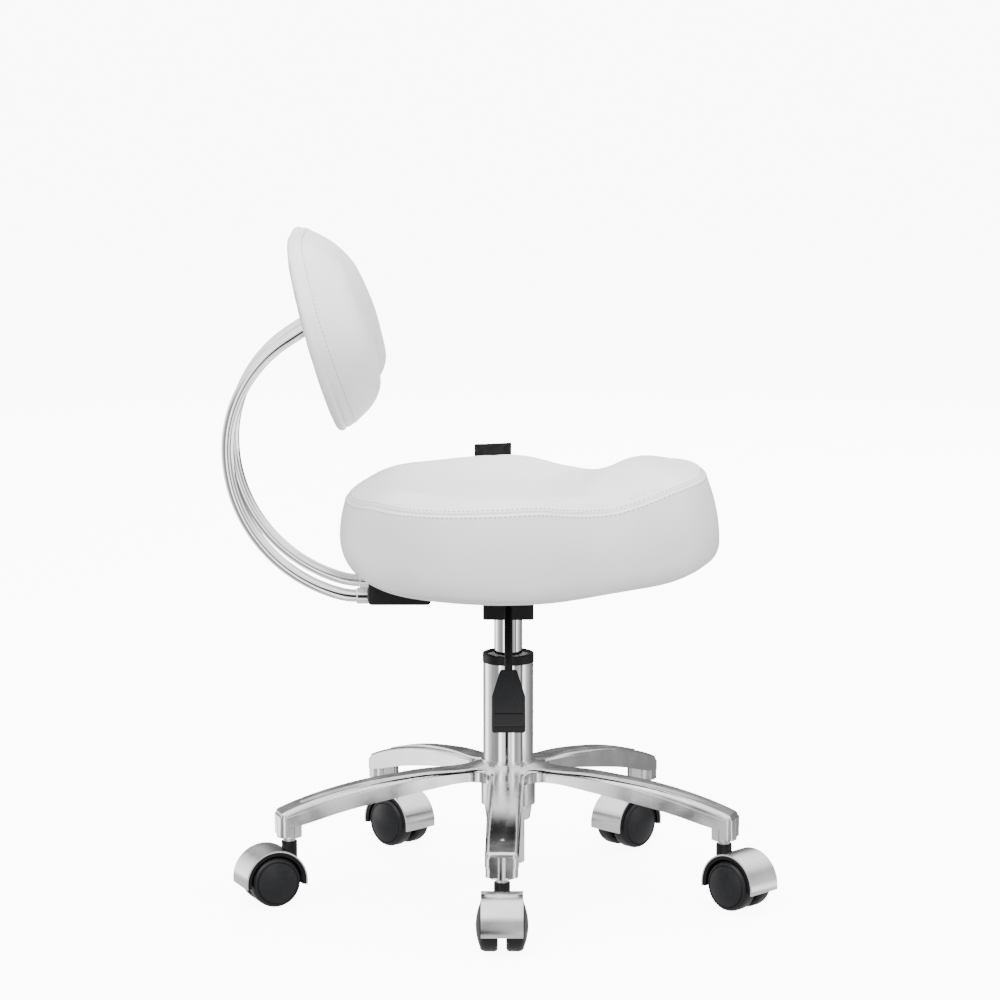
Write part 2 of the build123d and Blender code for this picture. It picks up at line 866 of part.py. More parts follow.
pad_skin = pad_slab(-pad_rear_depth, pad_front_depth, 0, pad_edge_radius)
pad_core = pad_slab(
    cover_thickness - pad_rear_depth,
    pad_front_depth - cover_thickness,
    cover_thickness,
    pad_edge_radius - cover_thickness,
)
plate_rear = cover_thickness - pad_rear_depth
board_rear = plate_rear + back_plate_thickness
back_screw_points = [
    (x * back_plate_width * 0.38, y * back_plate_height * 0.3) for x in (-1, 1) for y in (-1, 1)
]

with BuildPart() as back_plate:
    with BuildSketch(pad_plane.offset(plate_rear)):
        with Locations((0, back_plate_y)):
            RectangleRounded(back_plate_width, back_plate_height, back_plate_corner_radius)
            with Locations(back_screw_points):
                Circle(back_screw_radius, mode=Mode.SUBTRACT)
    extrude(amount=back_plate_thickness)
save(back_plate, "back_plate")

with BuildPart() as back_screws:
    with BuildSketch(pad_plane.offset(plate_rear)):
        with Locations([(x, y + back_plate_y) for x, y in back_screw_points]):
            Circle(back_screw_radius)
    extrude(amount=back_plate_thickness + back_board_thickness - 2)
save(back_screws, "back_screws")

with BuildPart() as back_board:
    extrude(
        pad_plan(pad_plane.offset(board_rear), back_board_inset).sketch,
        amount=back_board_thickness,
    )
    add(back_screws.part, mode=Mode.SUBTRACT)
save(back_board, "back_board")

with BuildPart() as back_foam:
    add(pad_core.part)
    extrude(
        pad_plan(pad_plane.offset(plate_rear), back_board_inset).sketch,
        amount=board_rear - plate_rear + back_board_thickness,
        mode=Mode.SUBTRACT,
    )
save(back_foam, "back_foam")

# ---------------------------------------------------------------- backrest rods


def around(centre, radius, angle):
    """The point on a circle at an angle in radians."""
    return (centre[0] + radius * math.cos(angle), centre[1] + radius * math.sin(angle))


def back_rod(y):
    """One sprung rod: out of the block, round in a wide C and up into the pad."""
    upper = math.radians(rod_upper_slope)
    lower = math.radians(rod_lower_slope)
    upper_centre = (rod_back_x + rod_upper_arc, rod_back_z)
    lower_centre = (rod_back_x + rod_lower_arc, rod_back_z)
    upper_end = around(upper_centre, rod_upper_arc, math.pi / 2 + upper)
    upper_middle = around(upper_centre, rod_upper_arc, (3 * math.pi / 2 + upper) / 2)
    lower_end = around(lower_centre, rod_lower_arc, 3 * math.pi / 2 - lower)
    lower_middle = around(lower_centre, rod_lower_arc, (5 * math.pi / 2 - lower) / 2)
    foot_centre = (
        lower_end[0] + rod_end_arc * math.sin(lower),
        lower_end[1] + rod_end_arc * math.cos(lower),
    )
    foot = around(foot_centre, rod_end_arc, 3 * math.pi / 2)
    foot_middle = around(foot_centre, rod_end_arc, 3 * math.pi / 2 - lower / 2)
    into_pad = (
        upper_end[0] + rod_upper_run * math.cos(upper),
        upper_end[1] + rod_upper_run * math.sin(upper),
    )
    with BuildPart() as rod:
        with BuildLine(Plane.XZ.offset(-y)) as path:
            Line(into_pad, upper_end)
            ThreePointArc(upper_end, upper_middle, (rod_back_x, rod_back_z))
            ThreePointArc((rod_back_x, rod_back_z), lower_middle, lower_end)
            ThreePointArc(lower_end, foot_middle, foot)
            Line(foot, (block_rear_x, foot[1]))
        with BuildSketch(Plane(origin=path.line @ 0, z_dir=path.line % 0)):
            Circle(back_rod_radius)
        sweep()
        split(bisect_by=pad_plane.offset(plate_rear), keep=Keep.BOTTOM)
    return rod


back_rod_right = back_rod(-rod_spacing / 2)
back_rod_left = back_rod(rod_spacing / 2)
save(back_rod_right, "back_rod_right")
save(back_rod_left, "back_rod_left")

# The height at which the rods' feet run level into their ferrules
lower_end_angle = math.radians(rod_lower_slope)
rod_foot_z = (
    rod_back_z
    - rod_lower_arc * math.cos(lower_end_angle)
    - rod_end_arc * (1 - math.cos(lower_end_angle))
)

with BuildPart() as rod_ferrules:
    for y in (-rod_spacing / 2, rod_spacing / 2):
        with BuildSketch(Plane.YZ.offset(block_rear_x - ferrule_length)):
            with Locations((y, rod_foot_z)):
                Circle(ferrule_radius)
        extrude(amount=ferrule_length)
    fillet(rod_ferrules.edges().filter_by(GeomType.CIRCLE), radius=1.2)
    for y in (-rod_spacing / 2, rod_spacing / 2):
        with BuildSketch(Plane.YZ.offset(block_rear_x)):
            with Locations((y, rod_foot_z)):
                Circle(ferrule_stud_radius)
        extrude(amount=ferrule_stud_length)
    add(back_rod_right.part, mode=Mode.SUBTRACT)
    add(back_rod_left.part, mode=Mode.SUBTRACT)
save(rod_ferrules, "rod_ferrules")

with BuildPart() as back_bracket:
    with BuildSketch(Plane.XY.offset(block_bottom)):
        with Locations(((block_rear_x + block_front_x) / 2, 0)):
            RectangleRounded(
                block_front_x - block_rear_x, 2 * block_half_width, block_corner_radius
            )
    extrude(amount=board_bottom - block_bottom)
    chamfer(back_bracket.edges().group_by(Axis.Z)[0], length=block_chamfer)
    for y in (-rod_spacing / 2, rod_spacing / 2):
        with BuildSketch(Plane.YZ.offset(block_rear_x)):
            with Locations((y, rod_foot_z)):
                Circle(ferrule_stud_radius)
        extrude(amount=ferrule_stud_length, mode=Mode.SUBTRACT)
    with BuildSketch(Plane.XY.offset(block_bottom)):
        with Locations(block_bolts):
            Circle(bolt_radius)
    extrude(amount=board_bottom - block_bottom, mode=Mode.SUBTRACT)
save(back_bracket, "back_bracket")

with BuildPart() as back_cover:
    add(pad_skin.part)
    add(pad_core.part, mode=Mode.SUBTRACT)
    for y in (-rod_spacing / 2, rod_spacing / 2):
        with BuildSketch(Plane.XZ.offset(-y)) as rod_band:
            with BuildLine():
                upper = math.radians(rod_upper_slope)
                across = (
                    (back_rod_radius + 1) * math.sin(upper),
                    (back_rod_radius + 1) * math.cos(upper),
                )
                start = (
                    rod_back_x + rod_upper_arc - rod_upper_arc * math.sin(upper),
                    rod_back_z + rod_upper_arc * math.cos(upper),
                )
                end = (
                    start[0] + rod_upper_run * math.cos(upper),
                    start[1] + rod_upper_run * math.sin(upper),
                )
                Polyline(
                    (start[0] - across[0], start[1] + across[1]),
                    (end[0] - across[0], end[1] + across[1]),
                    (end[0] + across[0], end[1] - across[1]),
                    (start[0] + across[0], start[1] - across[1]),
                    close=True,
                )
            make_face()
        extrude(amount=back_rod_radius + 1, both=True, mode=Mode.SUBTRACT)
save(back_cover, "back_cover")

# ---------------------------------------------------------------- casters

with BuildPart() as caster_stems:
    for index in range(arm_count):
        angle = math.radians(first_arm_angle + index * 360 / arm_count)
        spot = (stem_circle_radius * math.cos(angle), stem_circle_radius * math.sin(angle))
        for low, high, radius in (
            (stem_foot_bottom, neck_top + 0.3, stem_foot_radius),
            (neck_top + 0.3, boss_bottom, stem_flange_radius),
            (boss_bottom, stem_top - 1, stem_radius),
        ):
            with BuildSketch(Plane.XY.offset(low)):
                with Locations(spot):
                    Circle(radius)
            extrude(amount=high - low)
save(caster_stems, "caster_stems")


def arch(plane, inner, outer, start_angle, end_angle):
    """A band of arc about the axle, on a plane square to it."""
    centre = (caster_trail, wheel_radius)
    points = []
    for angle in (start_angle, end_angle):
        ray = (math.cos(math.radians(angle)), math.sin(math.radians(angle)))
        points.append(
            [(centre[0] + r * ray[0], centre[1] + r * ray[1]) for r in (inner, outer)]
        )
    (start_in, start_out), (end_in, end_out) = points
    top_in = (centre[0], centre[1] + inner)
    top_out = (centre[0], centre[1] + outer)
    with BuildSketch(plane) as band:
        with BuildLine():
            ThreePointArc(start_out, top_out, end_out)
            Line(end_out, end_in)
            ThreePointArc(end_in, top_in, start_in)
            Line(start_in, start_out)
        make_face()
    return band.sketch


def caster(name, stem, trail_angle):
    """A twin-wheel hooded caster: body, hood, axle and two wheels."""
    trail = math.radians(trail_angle)
    side = Plane(
        origin=(stem[0], stem[1], 0),
        x_dir=(math.cos(trail), math.sin(trail), 0),
        z_dir=(math.sin(trail), -math.cos(trail), 0),
    )
    axle_spot = (caster_trail, wheel_radius)
    liner_half_width = hood_half_width - 0.6

    with BuildPart() as neck_bore:
        with BuildSketch(Plane.XY.offset(stem_foot_bottom - 0.5)):
            with Locations(stem):
                Circle(stem_foot_radius + running_clearance)
        extrude(amount=neck_top + 1 - stem_foot_bottom)

    liner_band = arch(
        side.offset(-liner_half_width),
        liner_inner_radius,
        liner_outer_radius,
        hood_start_angle,
        hood_end_angle,
    )
    web_band = arch(side.offset(-web_half_width), axle_radius + 2, liner_inner_radius + 1, 0, 180)
    hood_band = arch(
        side.offset(-hood_half_width),
        hood_inner_radius,
        hood_outer_radius,
        hood_start_angle,
        hood_end_angle,
    )
    with BuildPart() as body:
        extrude(liner_band, amount=2 * liner_half_width)
        extrude(web_band, amount=2 * web_half_width)
        with BuildSketch(side.offset(-web_half_width)):
            with Locations(axle_spot):
                Circle(axle_radius + 4)
        extrude(amount=2 * web_half_width)
        with BuildSketch(Plane.XY.offset(stem_foot_bottom - 4)):
            with Locations(stem):
                Circle(neck_radius)
        extrude(amount=neck_top - stem_foot_bottom + 4)
        with BuildSketch(side.offset(-liner_half_width)):
            with Locations(axle_spot):
                Circle(wheel_well_radius)
        extrude(amount=liner_half_width - web_half_width, mode=Mode.SUBTRACT)
        with BuildSketch(side.offset(liner_half_width)):
            with Locations(axle_spot):
                Circle(wheel_well_radius)
        extrude(amount=web_half_width - liner_half_width, mode=Mode.SUBTRACT)
        with BuildSketch(side.offset(-web_half_width)):
            with Locations(axle_spot):
                Circle(axle_radius)
        extrude(amount=2 * web_half_width, mode=Mode.SUBTRACT)
        add(neck_bore.part, mode=Mode.SUBTRACT)
    save(body, f"{name}_caster_body")

    with BuildPart() as hood:
        extrude(hood_band, amount=2 * hood_half_width)
        with BuildSketch(Plane.XY.offset(wheel_radius)):
            with Locations(stem):
                Circle(neck_radius + 0.6)
        extrude(amount=wheel_radius + hood_outer_radius, mode=Mode.SUBTRACT)
    save(hood, f"{name}_caster_hood")

    outer_face = web_half_width + wheel_gap + wheel_width
    with BuildPart() as axle:
        with BuildSketch(side.offset(-outer_face + 2)):
            with Locations(axle_spot):
                Circle(axle_radius)
        extrude(amount=2 * outer_face - 4)
    save(axle, f"{name}_caster_axle")

    for label, way in (("a", -1), ("b", 1)):
        with BuildPart() as wheel:
            with BuildSketch(side.offset(way * (web_half_width + wheel_gap))):
                with Locations(axle_spot):
                    Circle(wheel_radius)
            extrude(amount=way * wheel_width)
            fillet(wheel.edges().filter_by(GeomType.CIRCLE), radius=2.2)
            with BuildSketch(side.offset(way * outer_face)):
                with Locations(axle_spot):
                    Circle(wheel_face_radius)
            extrude(amount=way * wheel_face_height)
            with BuildSketch(side.offset(way * (web_half_width + wheel_gap))):
                with Locations(axle_spot):
                    Circle(axle_radius + running_clearance)
            extrude(amount=way * (wheel_width - 1.5), mode=Mode.SUBTRACT)
        save(wheel, f"{name}_caster_wheel_{label}")


for index, (caster_name, trail_angle) in enumerate(casters):
    arm_angle = math.radians(first_arm_angle + index * 360 / arm_count)
    caster(
        caster_name,
        (stem_circle_radius * math.cos(arm_angle), stem_circle_radius * math.sin(arm_angle)),
        trail_angle,
    )
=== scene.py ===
"""Dentist stool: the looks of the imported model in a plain, pale studio.

Metres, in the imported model's own frame: the column stands on the origin, +Z is up, +X is the way
the sitter faces and the release lever is at -Y. Sizes of the soft parts are written in millimetres.
"""

import json
import math

import bmesh
import bpy
import numpy as np
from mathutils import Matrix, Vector, noise


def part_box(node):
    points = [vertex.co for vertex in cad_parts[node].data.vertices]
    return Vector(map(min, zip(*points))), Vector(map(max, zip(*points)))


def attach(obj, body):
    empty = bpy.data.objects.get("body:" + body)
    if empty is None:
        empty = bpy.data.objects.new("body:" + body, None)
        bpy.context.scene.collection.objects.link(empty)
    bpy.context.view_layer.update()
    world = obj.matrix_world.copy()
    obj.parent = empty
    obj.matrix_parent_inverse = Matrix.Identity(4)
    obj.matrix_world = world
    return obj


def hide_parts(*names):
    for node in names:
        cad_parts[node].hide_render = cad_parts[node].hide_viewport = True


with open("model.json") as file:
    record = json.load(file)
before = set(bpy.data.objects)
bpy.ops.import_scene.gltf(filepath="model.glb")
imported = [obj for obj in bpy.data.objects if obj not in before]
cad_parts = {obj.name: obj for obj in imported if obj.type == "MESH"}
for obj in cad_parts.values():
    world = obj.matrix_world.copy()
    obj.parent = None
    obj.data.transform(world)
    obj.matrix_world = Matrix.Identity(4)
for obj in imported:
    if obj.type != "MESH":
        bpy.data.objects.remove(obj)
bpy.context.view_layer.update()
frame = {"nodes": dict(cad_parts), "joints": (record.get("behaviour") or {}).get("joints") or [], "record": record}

MM = 0.001
# Vertices closer than this, in metres, are one where a mesh is welded
WELD_DISTANCE = 1e-7

# ---------------------------------------------------------------- sizes of the soft parts, mm

# Seat outline from above, from the rear round the left side to the front
SEAT_REAR = (-169.0, 0.0)
SEAT_FRONT = (211.0, 0.0)
SEAT_LEFT_SIDE = [
    (-120.0, 130.0),
    (-62.0, 168.0),
    (0.0, 177.0),
    (50.0, 161.0),
    (92.0, 129.0),
    (130.0, 113.0),
    (168.0, 104.0),
    (196.0, 74.0),
]
BOARD_UNDERSIDE = 317.0
BOARD_THICKNESS = 12.0
BOARD_INSET = 28.0
BOARD_FLAT = (-110.0, 70.0)
BOARD_CURL_RUN = (74.0, 156.0)
BOARD_CURL_RISE = (8.0, 28.0)
COVER_THICKNESS = 1.2
COVER_RIM = 46.0

# Height of the seam round the top, along X
SEAM_X = [-170, -158, -143, -117, -62, -21, 20, 42, 70, 89, 108, 131, 158, 188, 212]
SEAM_Z = [396, 397, 402, 401, 403, 405, 406, 405, 400, 397, 397, 404, 415, 420, 421]

# Height of the seat's middle line, along X
MIDDLE_X = [-170, -140, -110, -60, 0, 45, 75, 100, 122, 145, 170, 190, 212]
MIDDLE_Z = [405, 406, 403, 398, 396, 399, 407, 421, 430.5, 433, 430, 426, 421]

RIM_RISE_REAR = 11.5
RIM_RISE_SIDE = 10.0
RIM_DISTANCE = 27.0
DISH_DISTANCE = 88.0
POMMEL_START = 66.0
POMMEL_FULL = 118.0

# Roll of the side wall under the board and lean of its top: rear, side, front
ROLL_IN = (27.0, 16.0, 12.0)
ROLL_UP = (36.0, 24.0, 14.0)
TOP_LEAN = (7.0, 9.5, 15.0)

RIM_ROUNDNESS = 0.85
POMMEL_ROUNDNESS = 2.3
POMMEL_X = (90, 130, 168, 196, 211)
POMMEL_HALF_WIDTH = (118, 102, 92, 62, 20)

SEAT_STATIONS = 320
SEAT_CENTRE = (20.0, 0.0)
SHELL_GAP = 0.15
# Rows up the rolled foot of the wall, in degrees, one of them the lower welt
ROLL_ANGLES = (0, 8, 14, 19, 22.5, 25, 27, 29, 31.5, 35, 41, 50, 60, 70, 80, 90)
WELT_ANGLE = 27
WALL_ROWS = 8
SEAM_TO_STITCH = 3.6
# Rows down from the seam on the wall, and in from it on the top
BELOW_SEAM = (12, 9, 7, 5.2, SEAM_TO_STITCH, 2.4, 1.4, 0.7, 0.0)
INSIDE_SEAM = (0.7, 1.4, 2.4, SEAM_TO_STITCH, 5.5, 8.0)
# Every third seam station shapes the top, each as far as this; beside the seam only the nearest
SEAM_SAMPLE = 3
SEAM_INFLUENCE = 14.0
EXACT_FADE = 6
# Room left for the cloth to swell into
PUFF_ROOM = 2.4
SEAT_PRESSURE = 3.0
SEAT_SWELL = 3.5
SEAT_SEAM_DEPTHS = (1.1, 1.7)
SEAT_SEAM_SPREAD = 1.8
SEAT_GATHER = 0.45
SEAT_SEED = 3

# Cloth simulation of both cushions, and the shortest move that counts
PUFF_FRAMES = 16
PUFF_QUALITY = 4
COVER_MASS = 0.3
COVER_STIFFNESS = 25
COVER_BENDING = 2.0
STILL = 1e-6

# Rows each side of a seam that it draws in, and the size of the gathers
SEAM_ROWS = 9
GATHER_SIZE = 9.0

STITCH_PITCH = 4.7
STITCH_LENGTH = 3.1
STITCH_RADIUS = 0.42
STITCH_SIDES = 6
STITCH_STEPS = 5
STITCH_ARCH = 0.45
STITCH_SUNK = 0.28
STITCH_TIP = 0.45

# Backrest pad, in its own plane: across is world Y and up runs up the lean
PAD_LEAN = math.radians(15.9)
PAD_FOOT = (-154.0, 476.0)
PAD_HEIGHT = 190.0
PAD_HALF_WIDTH = 165.0
PAD_ARCH = 26.0
PAD_BAND = 8.5
# Depth of the front and reach of its crown, up the pad from its middle
PAD_DEPTH_UP = (-95, -60, -15, 40, 95)
PAD_DEPTH = (41, 44.5, 45.0, 42, 33)
PAD_CROWN_UP = (-95, -45, 30)
PAD_CROWN_REACH = (52, 58, 84)
PAD_CROWN = 3.5
PAD_REAR_DEPTH = 12.0
PAD_REAR_REACH = 26.0
PAD_REAR_CROWN = 2.4
PAD_STATIONS = 280
PAD_CENTRE = (0.0, 4.0)
# Room left for the cloth at the front seam and at the rear seam
PAD_ROOM = 0.9
PAD_REAR_ROOM = 1.0
# Rows in from the rear seam, across the band, and in from the front seam
PAD_REAR_ROWS = (9.0, 6.0, 4.0, 2.6, 1.5, 0.7)
PAD_BAND_ROWS = (-7.8, -7.0, -5.8, -4.2, -2.7, -1.5, -0.7)
PAD_FRONT_ROWS = (0.35, 0.8, 1.5, 2.4, 3.8, 5.6, 8.0, 11.0)
PAD_STITCH_ROW = 5
PAD_PRESSURE = 2.0
PAD_SWELL = 3.0
PAD_SEAM_DEPTHS = (0.7, 1.3)
PAD_SEAM_SPREAD = 1.6
PAD_GATHER = 0.6
PAD_SEED = 8

# Caster wheels. Offsets are along the axle from the caster's middle.
WHEEL_CAP_RADIUS = 20.1
WHEEL_CAP_FOOT = 21.2
WHEEL_CAP_RISE = 3.8
WHEEL_CAP_RINGS = 9
WHEEL_SIDES = 72
WHEEL_SHARP_ANGLE = math.radians(40)
# (offset, radius): blind hole for the axle, inner face, tread, outer shoulder, groove, cap's edge
WHEEL_CORNERS = [
    (18.0, 0.0), (18.0, 3.2),
    (3.9, 3.2), (3.9, 21.8),
    (4.1, 22.8), (4.9, 24.1), (6.2, 24.8), (7.6, 25.0), (15.4, 25.0), (17.2, 24.7),
    (18.9, 24.0), (20.2, 22.9), (20.9, 21.8),
    (20.9, 21.3), (20.3, 21.1), (20.2, 20.7), (20.5, 20.4),
    (WHEEL_CAP_FOOT, WHEEL_CAP_RADIUS),
]

# Dust cloth: gap to the cover's rim, depth under the board, sag, creases and thickness
CLOTH_MARGIN = 0.6
CLOTH_DROP = 0.3
CLOTH_SAG = 0.25
CLOTH_CREASE = 0.12
CLOTH_THICKNESS = 0.2
CLOTH_STATIONS = 240
CLOTH_CENTRE = (10.0, 0.0)

# Flat size of the side tab's ribbon, in metres; faces along and up it; thickness and rounding in mm
TAB_GRID = (26, 20)
TAB_THICKNESS = 0.9
TAB_EDGE = 0.3


# ---------------------------------------------------------------- studio, in metres

# The floor glows, and only the camera sees it, so that it stays nearly white
FLOOR_GLOW = 9.0
FLOOR_REACH = 60.0
WORLD_GLOW = 1.0
BOWL_STRENGTH = 4.6
BOWL_ROOF_GLOW = 0.5
BOWL_ROOF_START = 0.75
BOWL_ROOF_FULL = 1.5
BOWL_SIDES = 96
# Radius and height of the bowl, from beside the casters to its roof, in metres
BOWL_PROFILE = [(0.34, 0.004), (1.1, 0.004), (1.5, 0.12), (1.8, 0.5), (1.9, 1.3), (1.5, 2.1),
                (0.7, 2.6), (0.02, 2.7)]
# Brightness of the bowl by direction, in degrees from the lever's side round towards +X
BOWL_BANDS = [
    (-180, 0.03), (-141, 0.06), (-124, 0.55), (-111, 0.75), (-100, 0.3), (-88, 0.2), (-80, 0.12),
    (-56, 0.08), (-45, 0.1), (-40, 0.9), (-34, 0.8), (-24, 0.3), (-17, 0.4), (-12, 0.02),
    (-9, 0.002), (-2, 0.002), (1, 0.2), (5, 0.45), (13, 0.22), (21, 0.85), (27, 0.3), (32, 0.09),
    (45, 0.12), (54, 0.18), (60, 0.04), (66, 0.04), (72, 0.6), (82, 0.4), (92, 0.18),
    (115, 0.08), (140, 0.045), (180, 0.03),
]
# Softboxes, all aimed at the stool's middle: name, place, side of the square, watts
STOOL_MIDDLE = (0.0, 0.0, 0.35)
SOFTBOXES = [
    ("key", (-1.4, -2.2, 2.8), 1.4, 110),
    ("fill", (2.6, -1.6, 1.4), 1.6, 45),
    ("top", (0.1, 0.3, 3.0), 1.8, 120),
    ("back", (0.6, 3.0, 1.8), 2.0, 60),
]
# The photograph's viewpoint: nearly level, from the lever's side
CAMERA_PLACE = (-0.0082, -4.0, 1.049)
CAMERA_TILT = math.radians(80.66)
CAMERA_LENS = 147.7
CAMERA_SENSOR = 36.0
CAMERA_CLIP = 100.0


# ---------------------------------------------------------------- curves and numbers


def closed_curve(points, count):
    """Evenly spaced points on a smooth closed curve through the given points."""
    p = np.array(points, float)
    n = len(p)
    h = np.linalg.norm(np.roll(p, -1, 0) - p, axis=1)
    system = np.zeros((n, n))
    slopes = np.zeros((n, 2))
    for i in range(n):
        before, after = h[i - 1], h[i]
        system[i, i - 1] += before
        system[i, i] += 2 * (before + after)
        system[i, (i + 1) % n] += after
        rise_after = (p[(i + 1) % n] - p[i]) / after
        rise_before = (p[i] - p[i - 1]) / before
        slopes[i] = 6 * (rise_after - rise_before)
    bend = np.linalg.solve(system, slopes)
    dense = []
    for i in range(n):
        j = (i + 1) % n
        for t in np.linspace(0, h[i], 200, endpoint=False):
            a, b = h[i] - t, t
            dense.append(
                (bend[i] * a**3 + bend[j] * b**3) / (6 * h[i])
                + (p[i] / h[i] - bend[i] * h[i] / 6) * a
                + (p[j] / h[i] - bend[j] * h[i] / 6) * b
            )
    dense = np.array(dense)
    closed = np.vstack([dense, dense[:1]])
    travel = np.concatenate([[0], np.cumsum(np.linalg.norm(np.diff(closed, axis=0), axis=1))])
    wanted = np.linspace(0, travel[-1], count, endpoint=False)
    return np.stack([np.interp(wanted, travel, closed[:, k]) for k in (0, 1)], 1)


def outward(loop):
    """Unit normals that point out of a clockwise loop."""
    along = np.roll(loop, -1, 0) - np.roll(loop, 1, 0)
    along /= np.linalg.norm(along, axis=1)[:, None]
    return np.stack([-along[:, 1], along[:, 0]], 1)


def smooth_step(low, high, value):
    """0 below low, 1 above high and an even S between them."""
    t = np.clip((value - low) / (high - low), 0, 1)
    return t * t * (3 - 2 * t)


def smooth_profile(xs, zs):
    """A function through the given heights, rounded off between them."""
    fine = np.linspace(xs[0], xs[-1], 400)
    rough = np.interp(fine, xs, zs)
    reach = 9.0
    weights = np.exp(-(((fine[:, None] - fine[None, :]) / reach) ** 2))
    smooth = (weights * rough).sum(1) / weights.sum(1)
    return lambda x: np.interp(x, fine, smooth)


def three_way(values, facing):
    """A value for a wall that faces the rear (-1), the side (0) or the front (+1)."""
    return np.interp(facing, (-1, 0, 1), values)


def wrinkle(point, seed):
    """Smooth noise from about -1 to 1 at a point in its own units."""
    return noise.noise(Vector((point[0] + 17.3 * seed, point[1] - 9.1 * seed, point[2] + seed)))


def disc_grid(count):
    """A square grid bent into a disc with count even steps round its rim.

    Gives each vertex's turn (0 to 1 round the rim) and radius, the faces, and the rim in order.
    """
    side = count // 4
    line = math.sqrt(2) * np.sin(np.linspace(-math.pi / 4, math.pi / 4, side + 1))
    a, b = np.meshgrid(line, line, indexing="ij")
    u = a * np.sqrt(1 - b**2 / 2)
    v = b * np.sqrt(1 - a**2 / 2)
    turn = (np.arctan2(v, u) / (2 * math.pi)) % 1.0
    radius = np.minimum(np.hypot(u, v), 1.0)
    index = np.arange((side + 1) ** 2).reshape(side + 1, side + 1)
    faces = [
        (index[i, j], index[i + 1, j], index[i + 1, j + 1], index[i, j + 1])
        for i in range(side)
        for j in range(side)
    ]
    rim = [None] * count
    for i in range(side + 1):
        for j in range(side + 1):
            if i in (0, side) or j in (0, side):
                rim[round(turn[i, j] * count) % count] = int(index[i, j])
    return turn.ravel(), radius.ravel(), faces, rim


def at_turn(loop, turn):
    """Points of a closed loop at fractions of its count."""
    place = turn * len(loop)
    low = np.floor(place).astype(int)
    share = (place - low)[:, None]
    return loop[low % len(loop)] * (1 - share) + loop[(low + 1) % len(loop)] * share


# ---------------------------------------------------------------- mesh helpers


def mesh_object(name, verts, faces, weld=False):
    """A smooth-shaded mesh object from points in millimetres, its normals made consistent.

    Its vertices keep their order, unless those that coincide are welded.
    """
    mesh = bpy.data.meshes.new(name)
    mesh.from_pydata([tuple(v) for v in np.array(verts, float) * MM], [], [tuple(f) for f in faces])
    shape = bmesh.new()
    shape.from_mesh(mesh)
    if weld:
        bmesh.ops.remove_doubles(shape, verts=shape.verts, dist=WELD_DISTANCE)
    bmesh.ops.recalc_face_normals(shape, faces=shape.faces)
    shape.to_mesh(mesh)
    shape.free()
    mesh.polygons.foreach_set("use_smooth", [True] * len(mesh.polygons))
    obj = bpy.data.objects.new(name, mesh)
    bpy.context.scene.collection.objects.link(obj)
    return obj


def points_of(obj):
    """A mesh's vertices in millimetres."""
    flat = np.zeros(len(obj.data.vertices) * 3, np.float32)
    obj.data.vertices.foreach_get("co", flat)
    return flat.reshape(-1, 3).astype(float) / MM


def normals_of(obj):
    """A mesh's vertex normals."""
    flat = np.zeros(len(obj.data.vertices) * 3, np.float32)
    obj.data.vertex_normals.foreach_get("vector", flat)
    return flat.reshape(-1, 3).astype(float)


def set_points(obj, points):
    """Put a mesh's vertices at points in millimetres."""
    obj.data.vertices.foreach_set("co", (np.array(points) * MM).astype(np.float32).ravel())
    obj.data.update()


def ring_faces(first, second):
    """Quads between two closed rows of vertex numbers."""
    count = len(first)
    return [
        (first[k], first[(k + 1) % count], second[(k + 1) % count], second[k])
        for k in range(count)
    ]


def lathe_faces(rings, sides):
    """Quads between each closed ring of vertices and the next."""
    rows = [list(range(ring * sides, (ring + 1) * sides)) for ring in range(rings)]
    return [face for low, high in zip(rows, rows[1:]) for face in ring_faces(low, high)]


def sew_disc(verts, faces, points, grid_faces, rim, edge):
    """Add a disc's points and faces to a skin, its rim sewn to the closed row of vertices edge."""
    first = len(verts)
    verts.extend(points)
    sewn = dict(zip(rim, edge))
    for face in grid_faces:
        faces.append(tuple(sewn.get(int(v), first + int(v)) for v in face))


def puff(obj, held, pressure, cap):
    """Inflate a cushion between its held vertices with cloth, moving none further than cap mm."""
    start = points_of(obj)
    group = obj.vertex_groups.new(name="held")
    group.add([int(v) for v in held], 1.0, "REPLACE")
    cloth = obj.modifiers.new("cloth", "CLOTH")
    cloth.settings.quality = PUFF_QUALITY
    cloth.settings.mass = COVER_MASS
    cloth.settings.tension_stiffness = COVER_STIFFNESS
    cloth.settings.compression_stiffness = COVER_STIFFNESS
    cloth.settings.bending_stiffness = COVER_BENDING
    cloth.settings.use_pressure = True
    cloth.settings.uniform_pressure_force = pressure
    cloth.settings.vertex_group_mass = "held"
    cloth.settings.effector_weights.gravity = 0
    cloth.collision_settings.use_collision = False
    cloth.collision_settings.use_self_collision = False
    for number in range(1, PUFF_FRAMES + 1):
        bpy.context.scene.frame_set(number)
    evaluated = obj.evaluated_get(bpy.context.evaluated_depsgraph_get())
    moved = np.array([v.co for v in evaluated.data.vertices], float) / MM
    obj.modifiers.remove(cloth)
    bpy.context.scene.frame_set(1)
    step = moved - start
    length = np.linalg.norm(step, axis=1)
    limit = cap * np.tanh(length / cap)
    share = np.where(length > STILL, limit / np.maximum(length, STILL), 0)
    set_points(obj, start + step * share[:, None])


